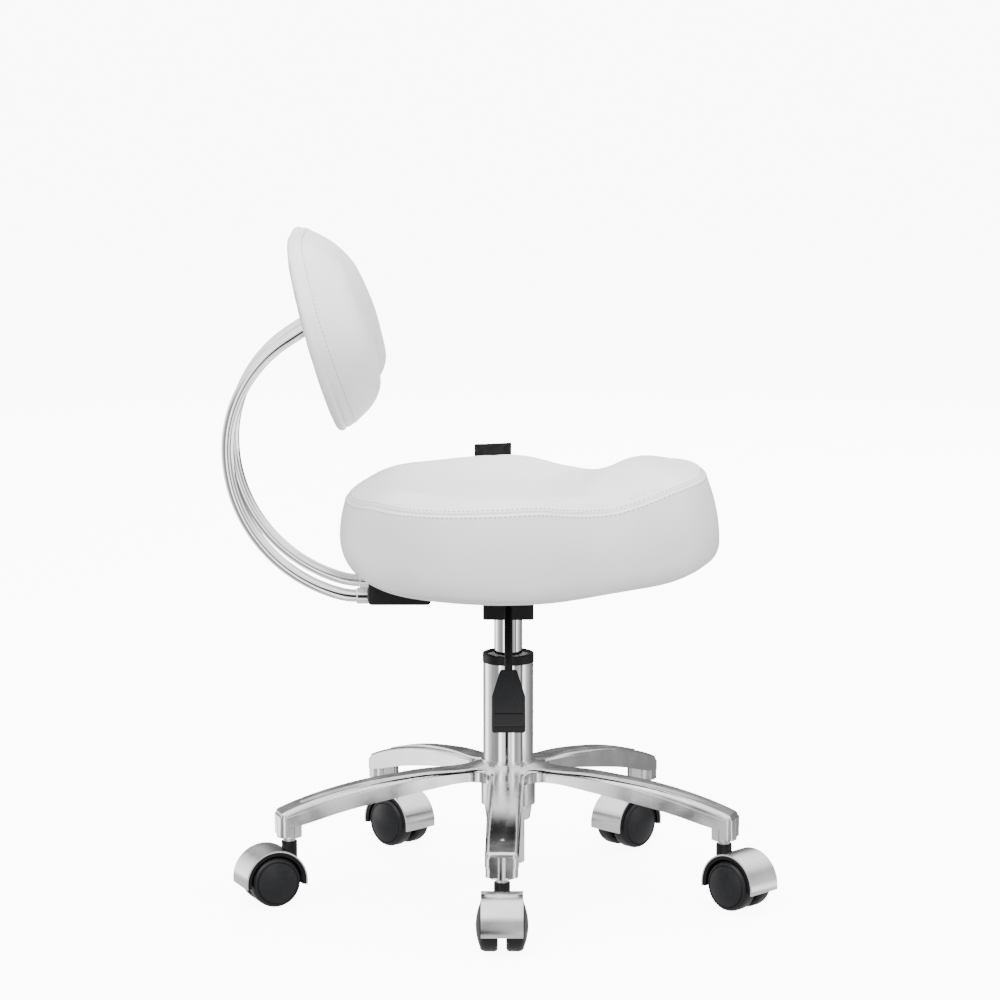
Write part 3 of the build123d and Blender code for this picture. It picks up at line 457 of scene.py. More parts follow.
def stitches(name, rows):
    """Short threads along closed rows of (point, normal) stations, as one mesh."""
    verts, faces = [], []
    sides, steps = STITCH_SIDES, STITCH_STEPS
    for points, normals in rows:
        closed = np.vstack([points, points[:1]])
        travel = np.concatenate(
            [[0], np.cumsum(np.linalg.norm(np.diff(closed, axis=0), axis=1))]
        )
        lifts = np.vstack([normals, normals[:1]])
        number = int(travel[-1] / STITCH_PITCH)
        for k in range(number):
            begin = k * travel[-1] / number
            spans = begin + np.linspace(0, STITCH_LENGTH, steps)
            line = np.stack([np.interp(spans, travel, closed[:, i]) for i in range(3)], 1)
            up = np.stack([np.interp(spans, travel, lifts[:, i]) for i in range(3)], 1)
            up /= np.linalg.norm(up, axis=1)[:, None]
            first = len(verts)
            for j in range(steps):
                arc = math.sin(math.pi * j / (steps - 1))
                centre = line[j] + up[j] * (STITCH_ARCH * arc - STITCH_SUNK)
                along = line[min(j + 1, steps - 1)] - line[max(j - 1, 0)]
                along /= np.linalg.norm(along)
                across = np.cross(along, up[j])
                thick = STITCH_RADIUS * (STITCH_TIP + (1 - STITCH_TIP) * arc)
                for m in range(sides):
                    turn = 2 * math.pi * m / sides
                    verts.append(
                        centre + thick * (math.cos(turn) * across + math.sin(turn) * up[j])
                    )
            for j in range(steps - 1):
                low, high = first + j * sides, first + (j + 1) * sides
                for m in range(sides):
                    n = (m + 1) % sides
                    faces.append((low + m, low + n, high + n, high + m))
            faces.append(tuple(first + m for m in reversed(range(sides))))
            faces.append(tuple(first + (steps - 1) * sides + m for m in range(sides)))
    obj = mesh_object(name, verts, faces, weld=True)
    obj.data.materials.append(SHADE_DARKENED_THREAD)
    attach(obj, "seat")


# ---------------------------------------------------------------- materials


class Surface:
    """A Principled material, its colour, roughness and relief built from noise nodes."""

    def __init__(self, name, colour, roughness, metallic=0.0, **sockets):
        self.material = bpy.data.materials.new(name)
        self.material.use_nodes = True
        self.tree = self.material.node_tree
        self.shader = self.tree.nodes["Principled BSDF"]
        self.colour = colour
        self.shader.inputs["Base Color"].default_value = (*colour, 1)
        self.shader.inputs["Roughness"].default_value = roughness
        self.shader.inputs["Metallic"].default_value = metallic
        for socket, value in sockets.items():
            self.shader.inputs[socket.replace("_", " ")].default_value = value
        self.place = self.tree.nodes.new("ShaderNodeTexCoord").outputs["Object"]

    def node(self, kind, **values):
        made = self.tree.nodes.new(kind)
        for key, value in values.items():
            setattr(made, key, value)
        return made

    def link(self, source, target):
        self.tree.links.new(source, target)

    def stretched(self, scale):
        """Object coordinates scaled by three numbers."""
        mapping = self.node("ShaderNodeMapping")
        mapping.inputs["Scale"].default_value = scale
        self.link(self.place, mapping.inputs["Vector"])
        return mapping.outputs["Vector"]

    def noise(self, size, detail=3.0, roughness=0.55, place=None, distortion=0.0):
        """Noise whose features are about size millimetres across."""
        made = self.node("ShaderNodeTexNoise")
        made.inputs["Scale"].default_value = 1000.0 / size
        made.inputs["Detail"].default_value = detail
        made.inputs["Roughness"].default_value = roughness
        made.inputs["Distortion"].default_value = distortion
        self.link(place or self.place, made.inputs["Vector"])
        return made.outputs["Fac"]

    def cells(self, size, place=None):
        """Distance to the edges of cells about size millimetres across."""
        made = self.node("ShaderNodeTexVoronoi", feature="DISTANCE_TO_EDGE")
        made.inputs["Scale"].default_value = 1000.0 / size
        self.link(place or self.place, made.inputs["Vector"])
        return made.outputs["Distance"]

    def span(self, value, low, high, to_low=0.0, to_high=1.0):
        """A value remapped from one range to another, clamped."""
        made = self.node("ShaderNodeMapRange")
        made.inputs["From Min"].default_value = low
        made.inputs["From Max"].default_value = high
        made.inputs["To Min"].default_value = to_low
        made.inputs["To Max"].default_value = to_high
        self.link(value, made.inputs["Value"])
        return made.outputs["Result"]

    def math(self, operation, first, second):
        """A Math node on two outputs or numbers."""
        made = self.node("ShaderNodeMath", operation=operation)
        for number, value in enumerate((first, second)):
            if isinstance(value, (int, float)):
                made.inputs[number].default_value = value
            else:
                self.link(value, made.inputs[number])
        return made.outputs["Value"]

    def mix(self, factor, first, second):
        """A colour mixed between two colours or outputs."""
        made = self.node("ShaderNodeMix", data_type="RGBA")
        self.link(factor, made.inputs["Factor"])
        for name, value in (("A", first), ("B", second)):
            socket = next(s for s in made.inputs if s.name == name and s.type == "RGBA")
            if isinstance(value, tuple):
                socket.default_value = (*value, 1)
            else:
                self.link(value, socket)
        return next(s for s in made.outputs if s.type == "RGBA")

    def paint(self, output):
        self.link(output, self.shader.inputs["Base Color"])

    def polish(self, output, low, high):
        """Roughness that follows an output between two values."""
        self.link(self.span(output, 0.3, 0.7, low, high), self.shader.inputs["Roughness"])

    def relief(self, *layers):
        """Bump layers of (output, strength, depth in millimetres), one on another."""
        normal = None
        for height, strength, depth in layers:
            bump = self.node("ShaderNodeBump")
            bump.inputs["Strength"].default_value = strength
            bump.inputs["Distance"].default_value = depth * MM
            self.link(height, bump.inputs["Height"])
            if normal:
                self.link(normal, bump.inputs["Normal"])
            normal = bump.outputs["Normal"]
        self.link(normal, self.shader.inputs["Normal"])

    def facing_down(self):
        """1 on surfaces that look at the floor, 0 on the rest."""
        geometry = self.node("ShaderNodeNewGeometry")
        split = self.node("ShaderNodeSeparateXYZ")
        self.link(geometry.outputs["True Normal"], split.inputs["Vector"])
        return self.span(split.outputs["Z"], -0.35, -0.75)


def leatherette():
    """White coated fabric: a fine pebble grain, faint creases and uneven sheen."""
    s = Surface("white_leatherette", (0.83, 0.83, 0.82), 0.42, Coat_Weight=0.08, Coat_Roughness=0.3)
    warp = s.node("ShaderNodeVectorMath", operation="ADD")
    drift = s.node("ShaderNodeTexNoise")
    drift.inputs["Scale"].default_value = 300
    s.link(s.place, drift.inputs["Vector"])
    scaled = s.node("ShaderNodeVectorMath", operation="SCALE")
    scaled.inputs["Scale"].default_value = 0.0014
    s.link(drift.outputs["Color"], scaled.inputs[0])
    s.link(s.place, warp.inputs[0])
    s.link(scaled.outputs["Vector"], warp.inputs[1])
    pebbles = s.span(s.cells(1.25, warp.outputs["Vector"]), 0.0, 0.22)
    pores = s.noise(0.45, 2.0)
    creases = s.noise(14.0, 4.0, 0.6, distortion=0.6)
    broad = s.noise(90.0, 2.0)
    tone = s.mix(s.span(broad, 0.35, 0.65), (0.85, 0.85, 0.845), (0.90, 0.90, 0.897))
    valley = s.span(pebbles, 0.0, 0.5, 0.9, 1.0)
    shade = s.mix(valley, (0.62, 0.62, 0.61), tone)
    s.paint(shade)
    s.polish(creases, 0.36, 0.5)
    s.relief((creases, 0.10, 0.8), (pebbles, 0.22, 0.12), (pores, 0.12, 0.05))
    return s.material


def shade_darkened_thread():
    """Grey-white polyester yarn with a twist, painted darker as painted shade of the stitch holes and gaps."""
    # painted shade: the yarn is darkened far below its own grey-white to stand for the shade in and between the
    # stitches
    s = Surface("shade_darkened_thread", (0.3, 0.3, 0.3), 0.6, Sheen_Weight=0.3)
    strands = s.noise(0.35, 2.0)
    s.paint(s.mix(strands, (0.14, 0.14, 0.145), (0.36, 0.36, 0.36)))
    s.relief((strands, 0.5, 0.1))
    return s.material


def chrome(name, colour, low, high, brush=None):
    """Bright plate with faint haze, wipe marks and, where brushed, fine lines."""
    s = Surface(name, colour, low, 1.0)
    haze = s.noise(38.0, 4.0, 0.6)
    specks = s.noise(1.6, 2.0)
    bright = tuple(min(c * 1.05, 1) for c in colour)
    s.paint(s.mix(s.span(haze, 0.3, 0.7), tuple(c * 0.94 for c in colour), bright))
    s.polish(haze, low, high)
    if brush:
        lines = s.noise(1.0, 3.0, 0.6, s.stretched(brush))
        s.relief((lines, 0.12, 0.05), (specks, 0.03, 0.02))
    else:
        s.relief((haze, 0.02, 0.15), (specks, 0.025, 0.015))
    return s.material


def cast_aluminium():
    """Hand-polished casting: soft mirror on top, rougher and greyer where it looks down."""
    s = Surface("polished_aluminium", (0.78, 0.78, 0.79), 0.2, 1.0)
    waves = s.noise(26.0, 3.0, 0.5)
    wheel_marks = s.noise(1.0, 3.0, 0.6, s.stretched((0.18, 0.18, 1.4)))
    grit = s.noise(0.9, 3.0)
    below = s.facing_down()
    top = s.mix(s.span(waves, 0.35, 0.65), (0.66, 0.66, 0.67), (0.76, 0.76, 0.77))
    s.paint(s.mix(below, top, (0.36, 0.36, 0.37)))
    polish = s.span(waves, 0.3, 0.7, 0.13, 0.24)
    s.link(s.math("ADD", polish, s.math("MULTIPLY", below, 0.36)), s.shader.inputs["Roughness"])
    sand = s.math("MULTIPLY", grit, below)
    s.relief((waves, 0.08, 0.5), (wheel_marks, 0.06, 0.05), (sand, 0.7, 0.3))
    return s.material


def ground_steel(name, colour, roughness):
    """Ground steel with turning marks and small stains."""
    s = Surface(name, colour, roughness, 1.0)
    marks = s.noise(1.0, 3.0, 0.6, s.stretched((0.3, 0.3, 3.0)))
    stains = s.noise(7.0, 3.0)
    s.paint(s.mix(s.span(stains, 0.3, 0.7), tuple(c * 0.8 for c in colour), colour))
    s.polish(stains, roughness, roughness + 0.15)
    s.relief((marks, 0.12, 0.05))
    return s.material


def textured_black(name, colour, roughness, grain, depth, spread=0.12):
    """Black paint or plastic with a fine pebbled texture."""
    s = Surface(name, colour, roughness, Specular_IOR_Level=0.2)
    pebble = s.noise(grain, 3.0, 0.6)
    broad = s.noise(grain * 30, 3.0)
    dust = s.span(s.noise(grain * 6, 4.0, 0.7), 0.58, 0.8)
    worn = s.mix(dust, colour, tuple(c * 1.7 + 0.002 for c in colour))
    s.paint(s.mix(s.span(broad, 0.35, 0.65, 0.0, 0.35), worn, tuple(c * 0.7 for c in colour)))
    s.polish(broad, roughness - spread / 2, roughness + spread / 2)
    s.relief((pebble, 0.35, depth))
    return s.material


def wheel_nylon():
    """Moulded dark nylon, faintly scuffed round the tread."""
    s = Surface("wheel_nylon", (0.009, 0.009, 0.011), 0.33, Specular_IOR_Level=0.25)
    scuffs = s.noise(5.0, 5.0, 0.7)
    fine = s.noise(0.5, 2.0)
    s.paint(s.mix(s.span(scuffs, 0.55, 0.8), (0.009, 0.009, 0.011), (0.018, 0.018, 0.02)))
    s.polish(scuffs, 0.28, 0.46)
    s.relief((fine, 0.12, 0.04), (scuffs, 0.05, 0.1))
    return s.material


def plywood():
    """Birch plywood, the plies showing as bands through its thickness."""
    s = Surface("birch_plywood", (0.62, 0.47, 0.30), 0.6)
    grain = s.noise(3.0, 4.0, 0.6, s.stretched((0.12, 1.0, 1.0)))
    plies = s.node("ShaderNodeTexWave", bands_direction="Z")
    plies.inputs["Scale"].default_value = 120
    plies.inputs["Distortion"].default_value = 0.4
    s.link(s.place, plies.inputs["Vector"])
    wood = s.mix(s.span(grain, 0.3, 0.7), (0.50, 0.36, 0.21), (0.68, 0.53, 0.35))
    s.paint(s.mix(s.span(plies.outputs["Fac"], 0.4, 0.6, 0.0, 0.35), wood, (0.36, 0.25, 0.14)))
    s.relief((grain, 0.2, 0.2))
    return s.material


def woven(name, colour, pitch):
    """Plain-woven cloth: crossed threads with fuzz."""
    s = Surface(name, colour, 0.85, Sheen_Weight=0.04, Specular_IOR_Level=0.2)
    threads = []
    for axis in "XYZ":
        wave = s.node("ShaderNodeTexWave", bands_direction=axis)
        wave.inputs["Scale"].default_value = 1000.0 / pitch / 3.2
        wave.inputs["Distortion"].default_value = 0.6
        wave.inputs["Detail"].default_value = 2
        s.link(s.place, wave.inputs["Vector"])
        threads.append(wave.outputs["Fac"])
    weave = s.math("MULTIPLY", s.math("ADD", threads[0], threads[2]), threads[1])
    fuzz = s.noise(0.5, 3.0)
    light = tuple(min(c * 2.4 + 0.006, 1) for c in colour)
    s.paint(s.mix(s.span(weave, 0.2, 1.4, 0.0, 0.6), colour, light))
    s.relief((weave, 0.6, 0.25), (fuzz, 0.3, 0.1))
    return s.material


def plain_plastic(name, colour, roughness):
    """Smooth moulded plastic with slight sink and haze."""
    s = Surface(name, colour, roughness)
    sink = s.noise(9.0, 2.0)
    fine = s.noise(0.6, 2.0)
    s.paint(s.mix(s.span(sink, 0.35, 0.65), tuple(c * 0.88 for c in colour), colour))
    s.polish(sink, roughness - 0.05, roughness + 0.08)
    s.relief((sink, 0.05, 0.2), (fine, 0.1, 0.04))
    return s.material


def studio_floor():
    """The pale studio floor, glowing to stay nearly white."""
    s = Surface("pale_floor", (0.86, 0.86, 0.86), 0.8, Emission_Strength=FLOOR_GLOW)
    s.shader.inputs["Emission Color"].default_value = (1, 1, 1, 1)
    broad = s.noise(900.0, 2.0)
    s.paint(s.mix(broad, (0.85, 0.85, 0.85), (0.88, 0.88, 0.88)))
    return s.material


LEATHER = leatherette()
SHADE_DARKENED_THREAD = shade_darkened_thread()
BLACK_CLOTH = woven("black_cloth", (0.006, 0.006, 0.0065), 0.7)
SLOT_MATERIALS = {
    "polished_aluminium": cast_aluminium(),
    "tube_chrome": chrome("tube_chrome", (0.86, 0.86, 0.87), 0.04, 0.09),
    "rod_chrome": chrome("rod_chrome", (0.86, 0.86, 0.87), 0.05, 0.1),
    "hood_chrome": chrome("hood_chrome", (0.74, 0.74, 0.75), 0.14, 0.24, (0.25, 0.25, 2.4)),
    "bearing_steel": ground_steel("ground_steel", (0.56, 0.57, 0.59), 0.25),
    "black_steel": ground_steel("black_steel", (0.03, 0.03, 0.033), 0.38),
    "black_paint": textured_black("powder_coat", (0.004, 0.004, 0.0045), 0.5, 0.7, 0.12),
    "black_plastic": textured_black("moulded_black", (0.004, 0.004, 0.005), 0.46, 0.5, 0.08),
    "grey_plastic": plain_plastic("grey_acetal", (0.5, 0.5, 0.49), 0.35),
    "caster_black": textured_black("caster_nylon", (0.003, 0.003, 0.0035), 0.32, 0.6, 0.05),
    "wheel_black": wheel_nylon(),
    "rubber": textured_black("buffer_rubber", (0.03, 0.03, 0.03), 0.8, 0.8, 0.15),
    "plywood": plywood(),
    "foam": plain_plastic("seat_foam_block", (0.8, 0.74, 0.55), 0.9),
    "white_leather": LEATHER,
    "black_cloth": BLACK_CLOTH,
}

for part in frame["record"]["subparts"]:
    node = frame["nodes"][part["node"]]
    node.data.materials.clear()
    node.data.materials.append(SLOT_MATERIALS[part["material_slot"]])

# ---------------------------------------------------------------- seat cushion

seam_height = smooth_profile(SEAM_X, SEAM_Z)
middle_height = smooth_profile(MIDDLE_X, MIDDLE_Z)


def seat_outline(count):
    """Evenly spaced points round the seat from above, clockwise."""
    right_side = [(x, -y) for x, y in SEAT_LEFT_SIDE[::-1]]
    return closed_curve([SEAT_REAR, *SEAT_LEFT_SIDE, SEAT_FRONT, *right_side], count)


def board_height(x):
    """Height of the seat board's underside."""
    rear = np.clip((BOARD_FLAT[0] - x) / BOARD_CURL_RUN[0], 0, None)
    front = np.clip((x - BOARD_FLAT[1]) / BOARD_CURL_RUN[1], 0, None)
    return BOARD_UNDERSIDE + BOARD_CURL_RISE[0] * rear**2 + BOARD_CURL_RISE[1] * front**2


def seat_top(x, distance, facing, seam_z):
    """Height of the seat's upper surface a distance in from its seam."""
    rise = three_way((RIM_RISE_REAR, RIM_RISE_SIDE, RIM_RISE_SIDE), facing)
    rim = seam_z + rise
    middle = middle_height(x)
    up = np.sin(np.clip(distance / RIM_DISTANCE, 0, 1) * math.pi / 2) ** RIM_ROUNDNESS
    down = smooth_step(RIM_DISTANCE * 0.8, DISH_DISTANCE, distance)
    dish = (seam_z + rise * up) * (1 - down) + np.minimum(middle, rim) * down
    half = np.interp(x, POMMEL_X, POMMEL_HALF_WIDTH)
    share = np.clip(distance / half, 0, 1)
    pommel = seam_z + (middle - seam_z) * (1 - (1 - share) ** POMMEL_ROUNDNESS)
    blend = smooth_step(POMMEL_START, POMMEL_FULL, x)
    return dish * (1 - blend) + pommel * blend


def build_seat():
    """The cushion as one closed skin: board pocket, rolled wall, seam, and dished top."""
    outline = seat_outline(SEAT_STATIONS)
    normal = outward(outline)
    facing = normal[:, 0]
    roll_in = three_way(ROLL_IN, facing)
    roll_up = three_way(ROLL_UP, facing)
    lean = three_way(TOP_LEAN, facing)
    seam_z = seam_height(outline[:, 0])
    verts, rows, grooves = [], [], []

    def row(inset, height):
        first = len(verts)
        place = outline - normal * np.reshape(inset, (-1, 1)) * np.ones((SEAT_STATIONS, 1))
        z = height(place[:, 0]) if callable(height) else height
        verts.extend(np.column_stack([place, np.broadcast_to(z, SEAT_STATIONS)]))
        rows.append(list(range(first, first + SEAT_STATIONS)))
        return len(rows) - 1

    pocket_top = BOARD_THICKNESS + SHELL_GAP
    row(BOARD_INSET - SHELL_GAP, lambda x: board_height(x) + pocket_top)
    row(BOARD_INSET - SHELL_GAP, lambda x: board_height(x) - SHELL_GAP)
    row(COVER_RIM, lambda x: board_height(x) - SHELL_GAP)
    row(COVER_RIM, lambda x: board_height(x) - COVER_THICKNESS)
    foot_z = board_height(outline[:, 0]) - COVER_THICKNESS
    row((COVER_RIM + roll_in) / 2, foot_z)
    wall_start = foot_z + roll_up
    for angle in ROLL_ANGLES:
        phi = math.radians(angle)
        inset = PUFF_ROOM * math.sin(phi) + roll_in * (1 - math.sin(phi))
        number = row(inset, foot_z + roll_up * (1 - math.cos(phi)))
        if angle == WELT_ANGLE:
            grooves.append(number)
    seam_drop = seam_z - wall_start
    stitch_rows = []
    plain_wall = 1 - BELOW_SEAM[0] / seam_drop
    for step in range(1, WALL_ROWS):
        share = plain_wall * step / WALL_ROWS
        row(PUFF_ROOM + lean * share**2, wall_start + seam_drop * share)
    for below in BELOW_SEAM:
        share = 1 - below / seam_drop
        number = row(PUFF_ROOM + lean * share**2, wall_start + seam_drop * share)
        if below == SEAM_TO_STITCH:
            stitch_rows.append(number)
    grooves.append(len(rows) - 1)
    for inside in INSIDE_SEAM:
        place = outline - normal * (PUFF_ROOM + lean + inside)[:, None]
        number = row(
            PUFF_ROOM + lean + inside,
            seat_top(place[:, 0], np.full(SEAT_STATIONS, inside), facing, seam_z),
        )
        if inside == SEAM_TO_STITCH:
            stitch_rows.append(number)

    faces = []
    for low, high in zip(rows[:-1], rows[1:]):
        faces += ring_faces(low, high)

    turn, radius, grid_faces, rim = disc_grid(SEAT_STATIONS)
    centre = np.array(SEAT_CENTRE)
    seam_loop = outline - normal * (PUFF_ROOM + lean)[:, None]
    for edge, top in ((rows[-1], True), (rows[0], False)):
        loop = np.array([verts[v] for v in edge])[:, :2]
        place = centre + radius[:, None] * (at_turn(loop, turn) - centre)
        if top:
            gap = np.linalg.norm(place[:, None, :] - seam_loop[None, ::SEAM_SAMPLE, :], axis=2)
            nearest = gap.argmin(1) * SEAM_SAMPLE
            weight = np.exp(-((gap - gap.min(1)[:, None]) / SEAM_INFLUENCE))
            weight /= weight.sum(1)[:, None]
            z = seat_top(
                place[:, 0],
                gap.min(1),
                (weight * facing[None, ::SEAM_SAMPLE]).sum(1),
                (weight * seam_z[None, ::SEAM_SAMPLE]).sum(1),
            )
            share = smooth_step(0, EXACT_FADE, gap.min(1) - INSIDE_SEAM[-1])
            exact = seat_top(place[:, 0], gap.min(1), facing[nearest], seam_z[nearest])
            z = exact * (1 - share) + z * share
        else:
            z = board_height(place[:, 0]) + pocket_top
        sew_disc(verts, faces, np.column_stack([place, z]), grid_faces, rim, edge)

    return np.array(verts), faces, rows, grooves, stitch_rows


def drop_unused(verts, faces):
    """Vertices that some face uses, and the old number of each."""
    used = sorted({v for face in faces for v in face})
    new = {old: k for k, old in enumerate(used)}
    return np.array(verts)[used], [tuple(new[v] for v in face) for face in faces], new


def press_seams(obj, rows, number, depths, spread, gather, seed):
    """Sink each (seam row, depth) along the surface normal and gather the cloth beside it."""
    points, normals = points_of(obj), normals_of(obj)
    push = np.zeros(len(points))
    for seam, depth in depths:
        line = points[[number[v] for v in rows[seam]]]
        for step in range(-SEAM_ROWS, SEAM_ROWS + 1):
            if not 0 <= seam + step < len(rows):
                continue
            mine = [number[v] for v in rows[seam + step]]
            away = np.linalg.norm(points[mine] - line, axis=1)
            push[mine] -= depth * np.exp(-((away / spread) ** 2))
            for k, vertex in enumerate(mine):
                broad = wrinkle(points[vertex] / GATHER_SIZE, seed)
                fine = wrinkle(points[vertex] / (GATHER_SIZE / 2), seed)
                fade = math.exp(-((away[k] / GATHER_SIZE) ** 2))
                push[vertex] += gather * (broad + 0.5 * fine) * fade / 3
    set_points(obj, points + normals * push[:, None])


verts, faces, rows, grooves, stitch_rows = build_seat()
verts, faces, number = drop_unused(verts, faces)
seat_cushion = mesh_object("seat_cushion", verts, faces)
held_rows = rows[:6] + [rows[g + s] for g in grooves for s in (-1, 0, 1)]
held = {number[v] for row in held_rows for v in row}
inner = [i for i, p in enumerate(verts) if p[2] < board_height(p[0]) + BOARD_THICKNESS + 0.5
         and i not in held and i >= number[rows[-1][-1]]]
puff(seat_cushion, sorted(held | set(inner)), SEAT_PRESSURE, SEAT_SWELL)
seat_seams = list(zip(grooves, SEAT_SEAM_DEPTHS))
press_seams(seat_cushion, rows, number, seat_seams, SEAT_SEAM_SPREAD, SEAT_GATHER, SEAT_SEED)
seat_cushion.data.materials.append(LEATHER)
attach(seat_cushion, "seat")
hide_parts("seat_foam", "seat_cover")

seat_points, seat_normals = points_of(seat_cushion), normals_of(seat_cushion)
seat_stitches = [[number[v] for v in rows[r]] for r in stitch_rows]
stitches("seat_stitching", [(seat_points[s], seat_normals[s]) for s in seat_stitches])

# ---------------------------------------------------------------- backrest pad


def pad_point(across, up, depth):
    """World place, in millimetres, of a point in the pad's own plane."""
    half = PAD_HEIGHT / 2
    middle = (PAD_FOOT[0] - math.sin(PAD_LEAN) * half, PAD_FOOT[1] + math.cos(PAD_LEAN) * half)
    x = middle[0] - math.sin(PAD_LEAN) * up + math.cos(PAD_LEAN) * depth
    z = middle[1] + math.cos(PAD_LEAN) * up + math.sin(PAD_LEAN) * depth
    return np.stack([x, np.broadcast_to(across, np.shape(x)), z], -1)


def pad_front(up, distance):
    """How far the pad's front stands out, a distance in from its seam."""
    full = np.interp(up, PAD_DEPTH_UP, PAD_DEPTH)
    reach = np.interp(up, PAD_CROWN_UP, PAD_CROWN_REACH)
    return full * (1 - (1 - np.clip(distance / reach, 0, 1)) ** PAD_CROWN)


def pad_rear(distance):
    """How far the pad's back stands behind its rear seam."""
    share = np.clip(distance / PAD_REAR_REACH, 0, 1)
    return (PAD_REAR_DEPTH - PAD_BAND) * (1 - (1 - share) ** PAD_REAR_CROWN)


def build_pad():
    """The backrest as one closed skin: crowned front, narrow band and flatter back."""
    half = PAD_HEIGHT / 2
    side = [
        (PAD_HALF_WIDTH * 0.62, half - 12),
        (PAD_HALF_WIDTH, -half * 0.1),
        (PAD_HALF_WIDTH * 0.62, -half + 1),
    ]
    corners = [(0, half - 1), *side, (0, -half + PAD_ARCH), *[(-x, y) for x, y in side[::-1]]]
    outline = closed_curve(corners, PAD_STATIONS)
    normal = outward(outline)
    verts, rows, seams = [], [], []

    def row(inset, depth):
        first = len(verts)
        place = outline - normal * inset
        stand = depth(place[:, 1]) if callable(depth) else np.full(PAD_STATIONS, depth)
        verts.extend(np.column_stack([place, stand]))
        rows.append(list(range(first, first + PAD_STATIONS)))

    for inside in PAD_REAR_ROWS:
        row(inside + PAD_REAR_ROOM, -PAD_BAND - float(pad_rear(inside)))
    row(PAD_REAR_ROOM, -PAD_BAND)
    seams.append(len(rows) - 1)
    for depth in PAD_BAND_ROWS:
        bulge = math.sin(math.pi * -depth / PAD_BAND)
        row(PAD_ROOM - PAD_ROOM * bulge, depth)
    row(PAD_ROOM, 0.0)
    seams.append(len(rows) - 1)
    for inside in PAD_FRONT_ROWS:
        row(inside + PAD_ROOM, lambda up, inside=inside: pad_front(up, inside))

    faces = []
    for low, high in zip(rows[:-1], rows[1:]):
        faces += ring_faces(low, high)
    turn, radius, grid_faces, rim = disc_grid(PAD_STATIONS)
    centre = np.array(PAD_CENTRE)
    seam_loop = outline - normal * PAD_ROOM
    for edge, front in ((rows[-1], True), (rows[0], False)):
        loop = np.array([verts[v] for v in edge])[:, :2]
        place = centre + radius[:, None] * (at_turn(loop, turn) - centre)
        gap = np.linalg.norm(place[:, None, :] - seam_loop[None, ::2, :], axis=2).min(1)
        depth = pad_front(place[:, 1], gap) if front else -PAD_BAND - pad_rear(gap)
        sew_disc(verts, faces, np.column_stack([place, depth]), grid_faces, rim, edge)
    flat = np.array(verts)
    return pad_point(flat[:, 0], flat[:, 1], flat[:, 2]), faces, rows, seams


pad_verts, pad_faces, pad_rows, pad_seams = build_pad()
pad_verts, pad_faces, pad_number = drop_unused(pad_verts, pad_faces)
back_pad = mesh_object("back_pad", pad_verts, pad_faces)
band = pad_rows[pad_seams[0] - 1:pad_seams[1] + 2]
pad_held = {pad_number[v] for row in band for v in row}
puff(back_pad, sorted(pad_held), PAD_PRESSURE, PAD_SWELL)
pad_grooves = list(zip(pad_seams, PAD_SEAM_DEPTHS))
press_seams(back_pad, pad_rows, pad_number, pad_grooves, PAD_SEAM_SPREAD, PAD_GATHER, PAD_SEED)
pad_points, pad_normals = points_of(back_pad), normals_of(back_pad)
pad_stitches = [pad_number[v] for v in pad_rows[pad_seams[1] + PAD_STITCH_ROW]]
stitches("back_stitching", [(pad_points[pad_stitches], pad_normals[pad_stitches])])
back_pad.data.materials.append(LEATHER)
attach(back_pad, "seat")
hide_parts("back_foam", "back_cover")

# ---------------------------------------------------------------- dust cloth and side tab


def dust_cloth():
    """The black cloth under the seat: close under the board at its hem, slack and lightly creased further in."""
    outline = seat_outline(CLOTH_STATIONS)
    normal = outward(outline)
    turn, radius, grid_faces, _ = disc_grid(CLOTH_STATIONS)
    hem = outline - normal * (COVER_RIM + CLOTH_MARGIN)
    centre = np.array(CLOTH_CENTRE)
    place = centre + radius[:, None] * (at_turn(hem, turn) - centre)
    gap = np.linalg.norm(place[:, None, :] - hem[None, ::2, :], axis=2).min(1)
    z = board_height(place[:, 0]) - CLOTH_DROP - CLOTH_SAG * smooth_step(4, 40, gap)
    z += CLOTH_CREASE * np.array([wrinkle((x / 22.0, y / 9.0, 0.0), 5) for x, y in place])
    cloth = mesh_object("dust_cloth", np.column_stack([place, z]), grid_faces)
    return cloth


cloth = dust_cloth()
thickness = cloth.modifiers.new("thickness", "SOLIDIFY")
thickness.thickness = CLOTH_THICKNESS * MM
thickness.offset = 0.0
cloth.data.materials.append(BLACK_CLOTH)
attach(cloth, "seat")
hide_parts("bottom_cloth")


def folded_tab():
    """The plain woven tab on the far rim: one sheet of ribbon, flat at its foot and bowed towards its top."""
    low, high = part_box("side_tab")
    low, high = low / MM, high / MM
    columns, ups = TAB_GRID
    verts, faces = [], []
    for i in range(columns + 1):
        for j in range(ups + 1):
            s, t = i / columns, j / ups
            x = low.x + (high.x - low.x) * s
            z = low.z + (high.z - low.z) * t
            bow = 0.9 * math.sin(math.pi * s) * t + 0.6 * wrinkle((s * 3, t * 2, 0), 2) * t
            edge = 0.25 * math.exp(-(((t - 1) * 8) ** 2))
            verts.append((x, (low.y + high.y) / 2 - bow - edge, z + 1.5 * (s - 0.5)))
    for i in range(columns):
        for j in range(ups):
            a = i * (ups + 1) + j
            faces.append((a, a + ups + 1, a + ups + 2, a + 1))
    return mesh_object("side_ribbon", verts, faces)


ribbon = folded_tab()
layer = ribbon.modifiers.new("thickness", "SOLIDIFY")
layer.thickness = TAB_THICKNESS * MM
layer.offset = 0.0
rounded = ribbon.modifiers.new("edge", "BEVEL")
rounded.width = TAB_EDGE * MM
rounded.segments = 2
ribbon.data.materials.append(BLACK_CLOTH)
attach(ribbon, "seat")
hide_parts("side_tab")

# ---------------------------------------------------------------- caster wheels


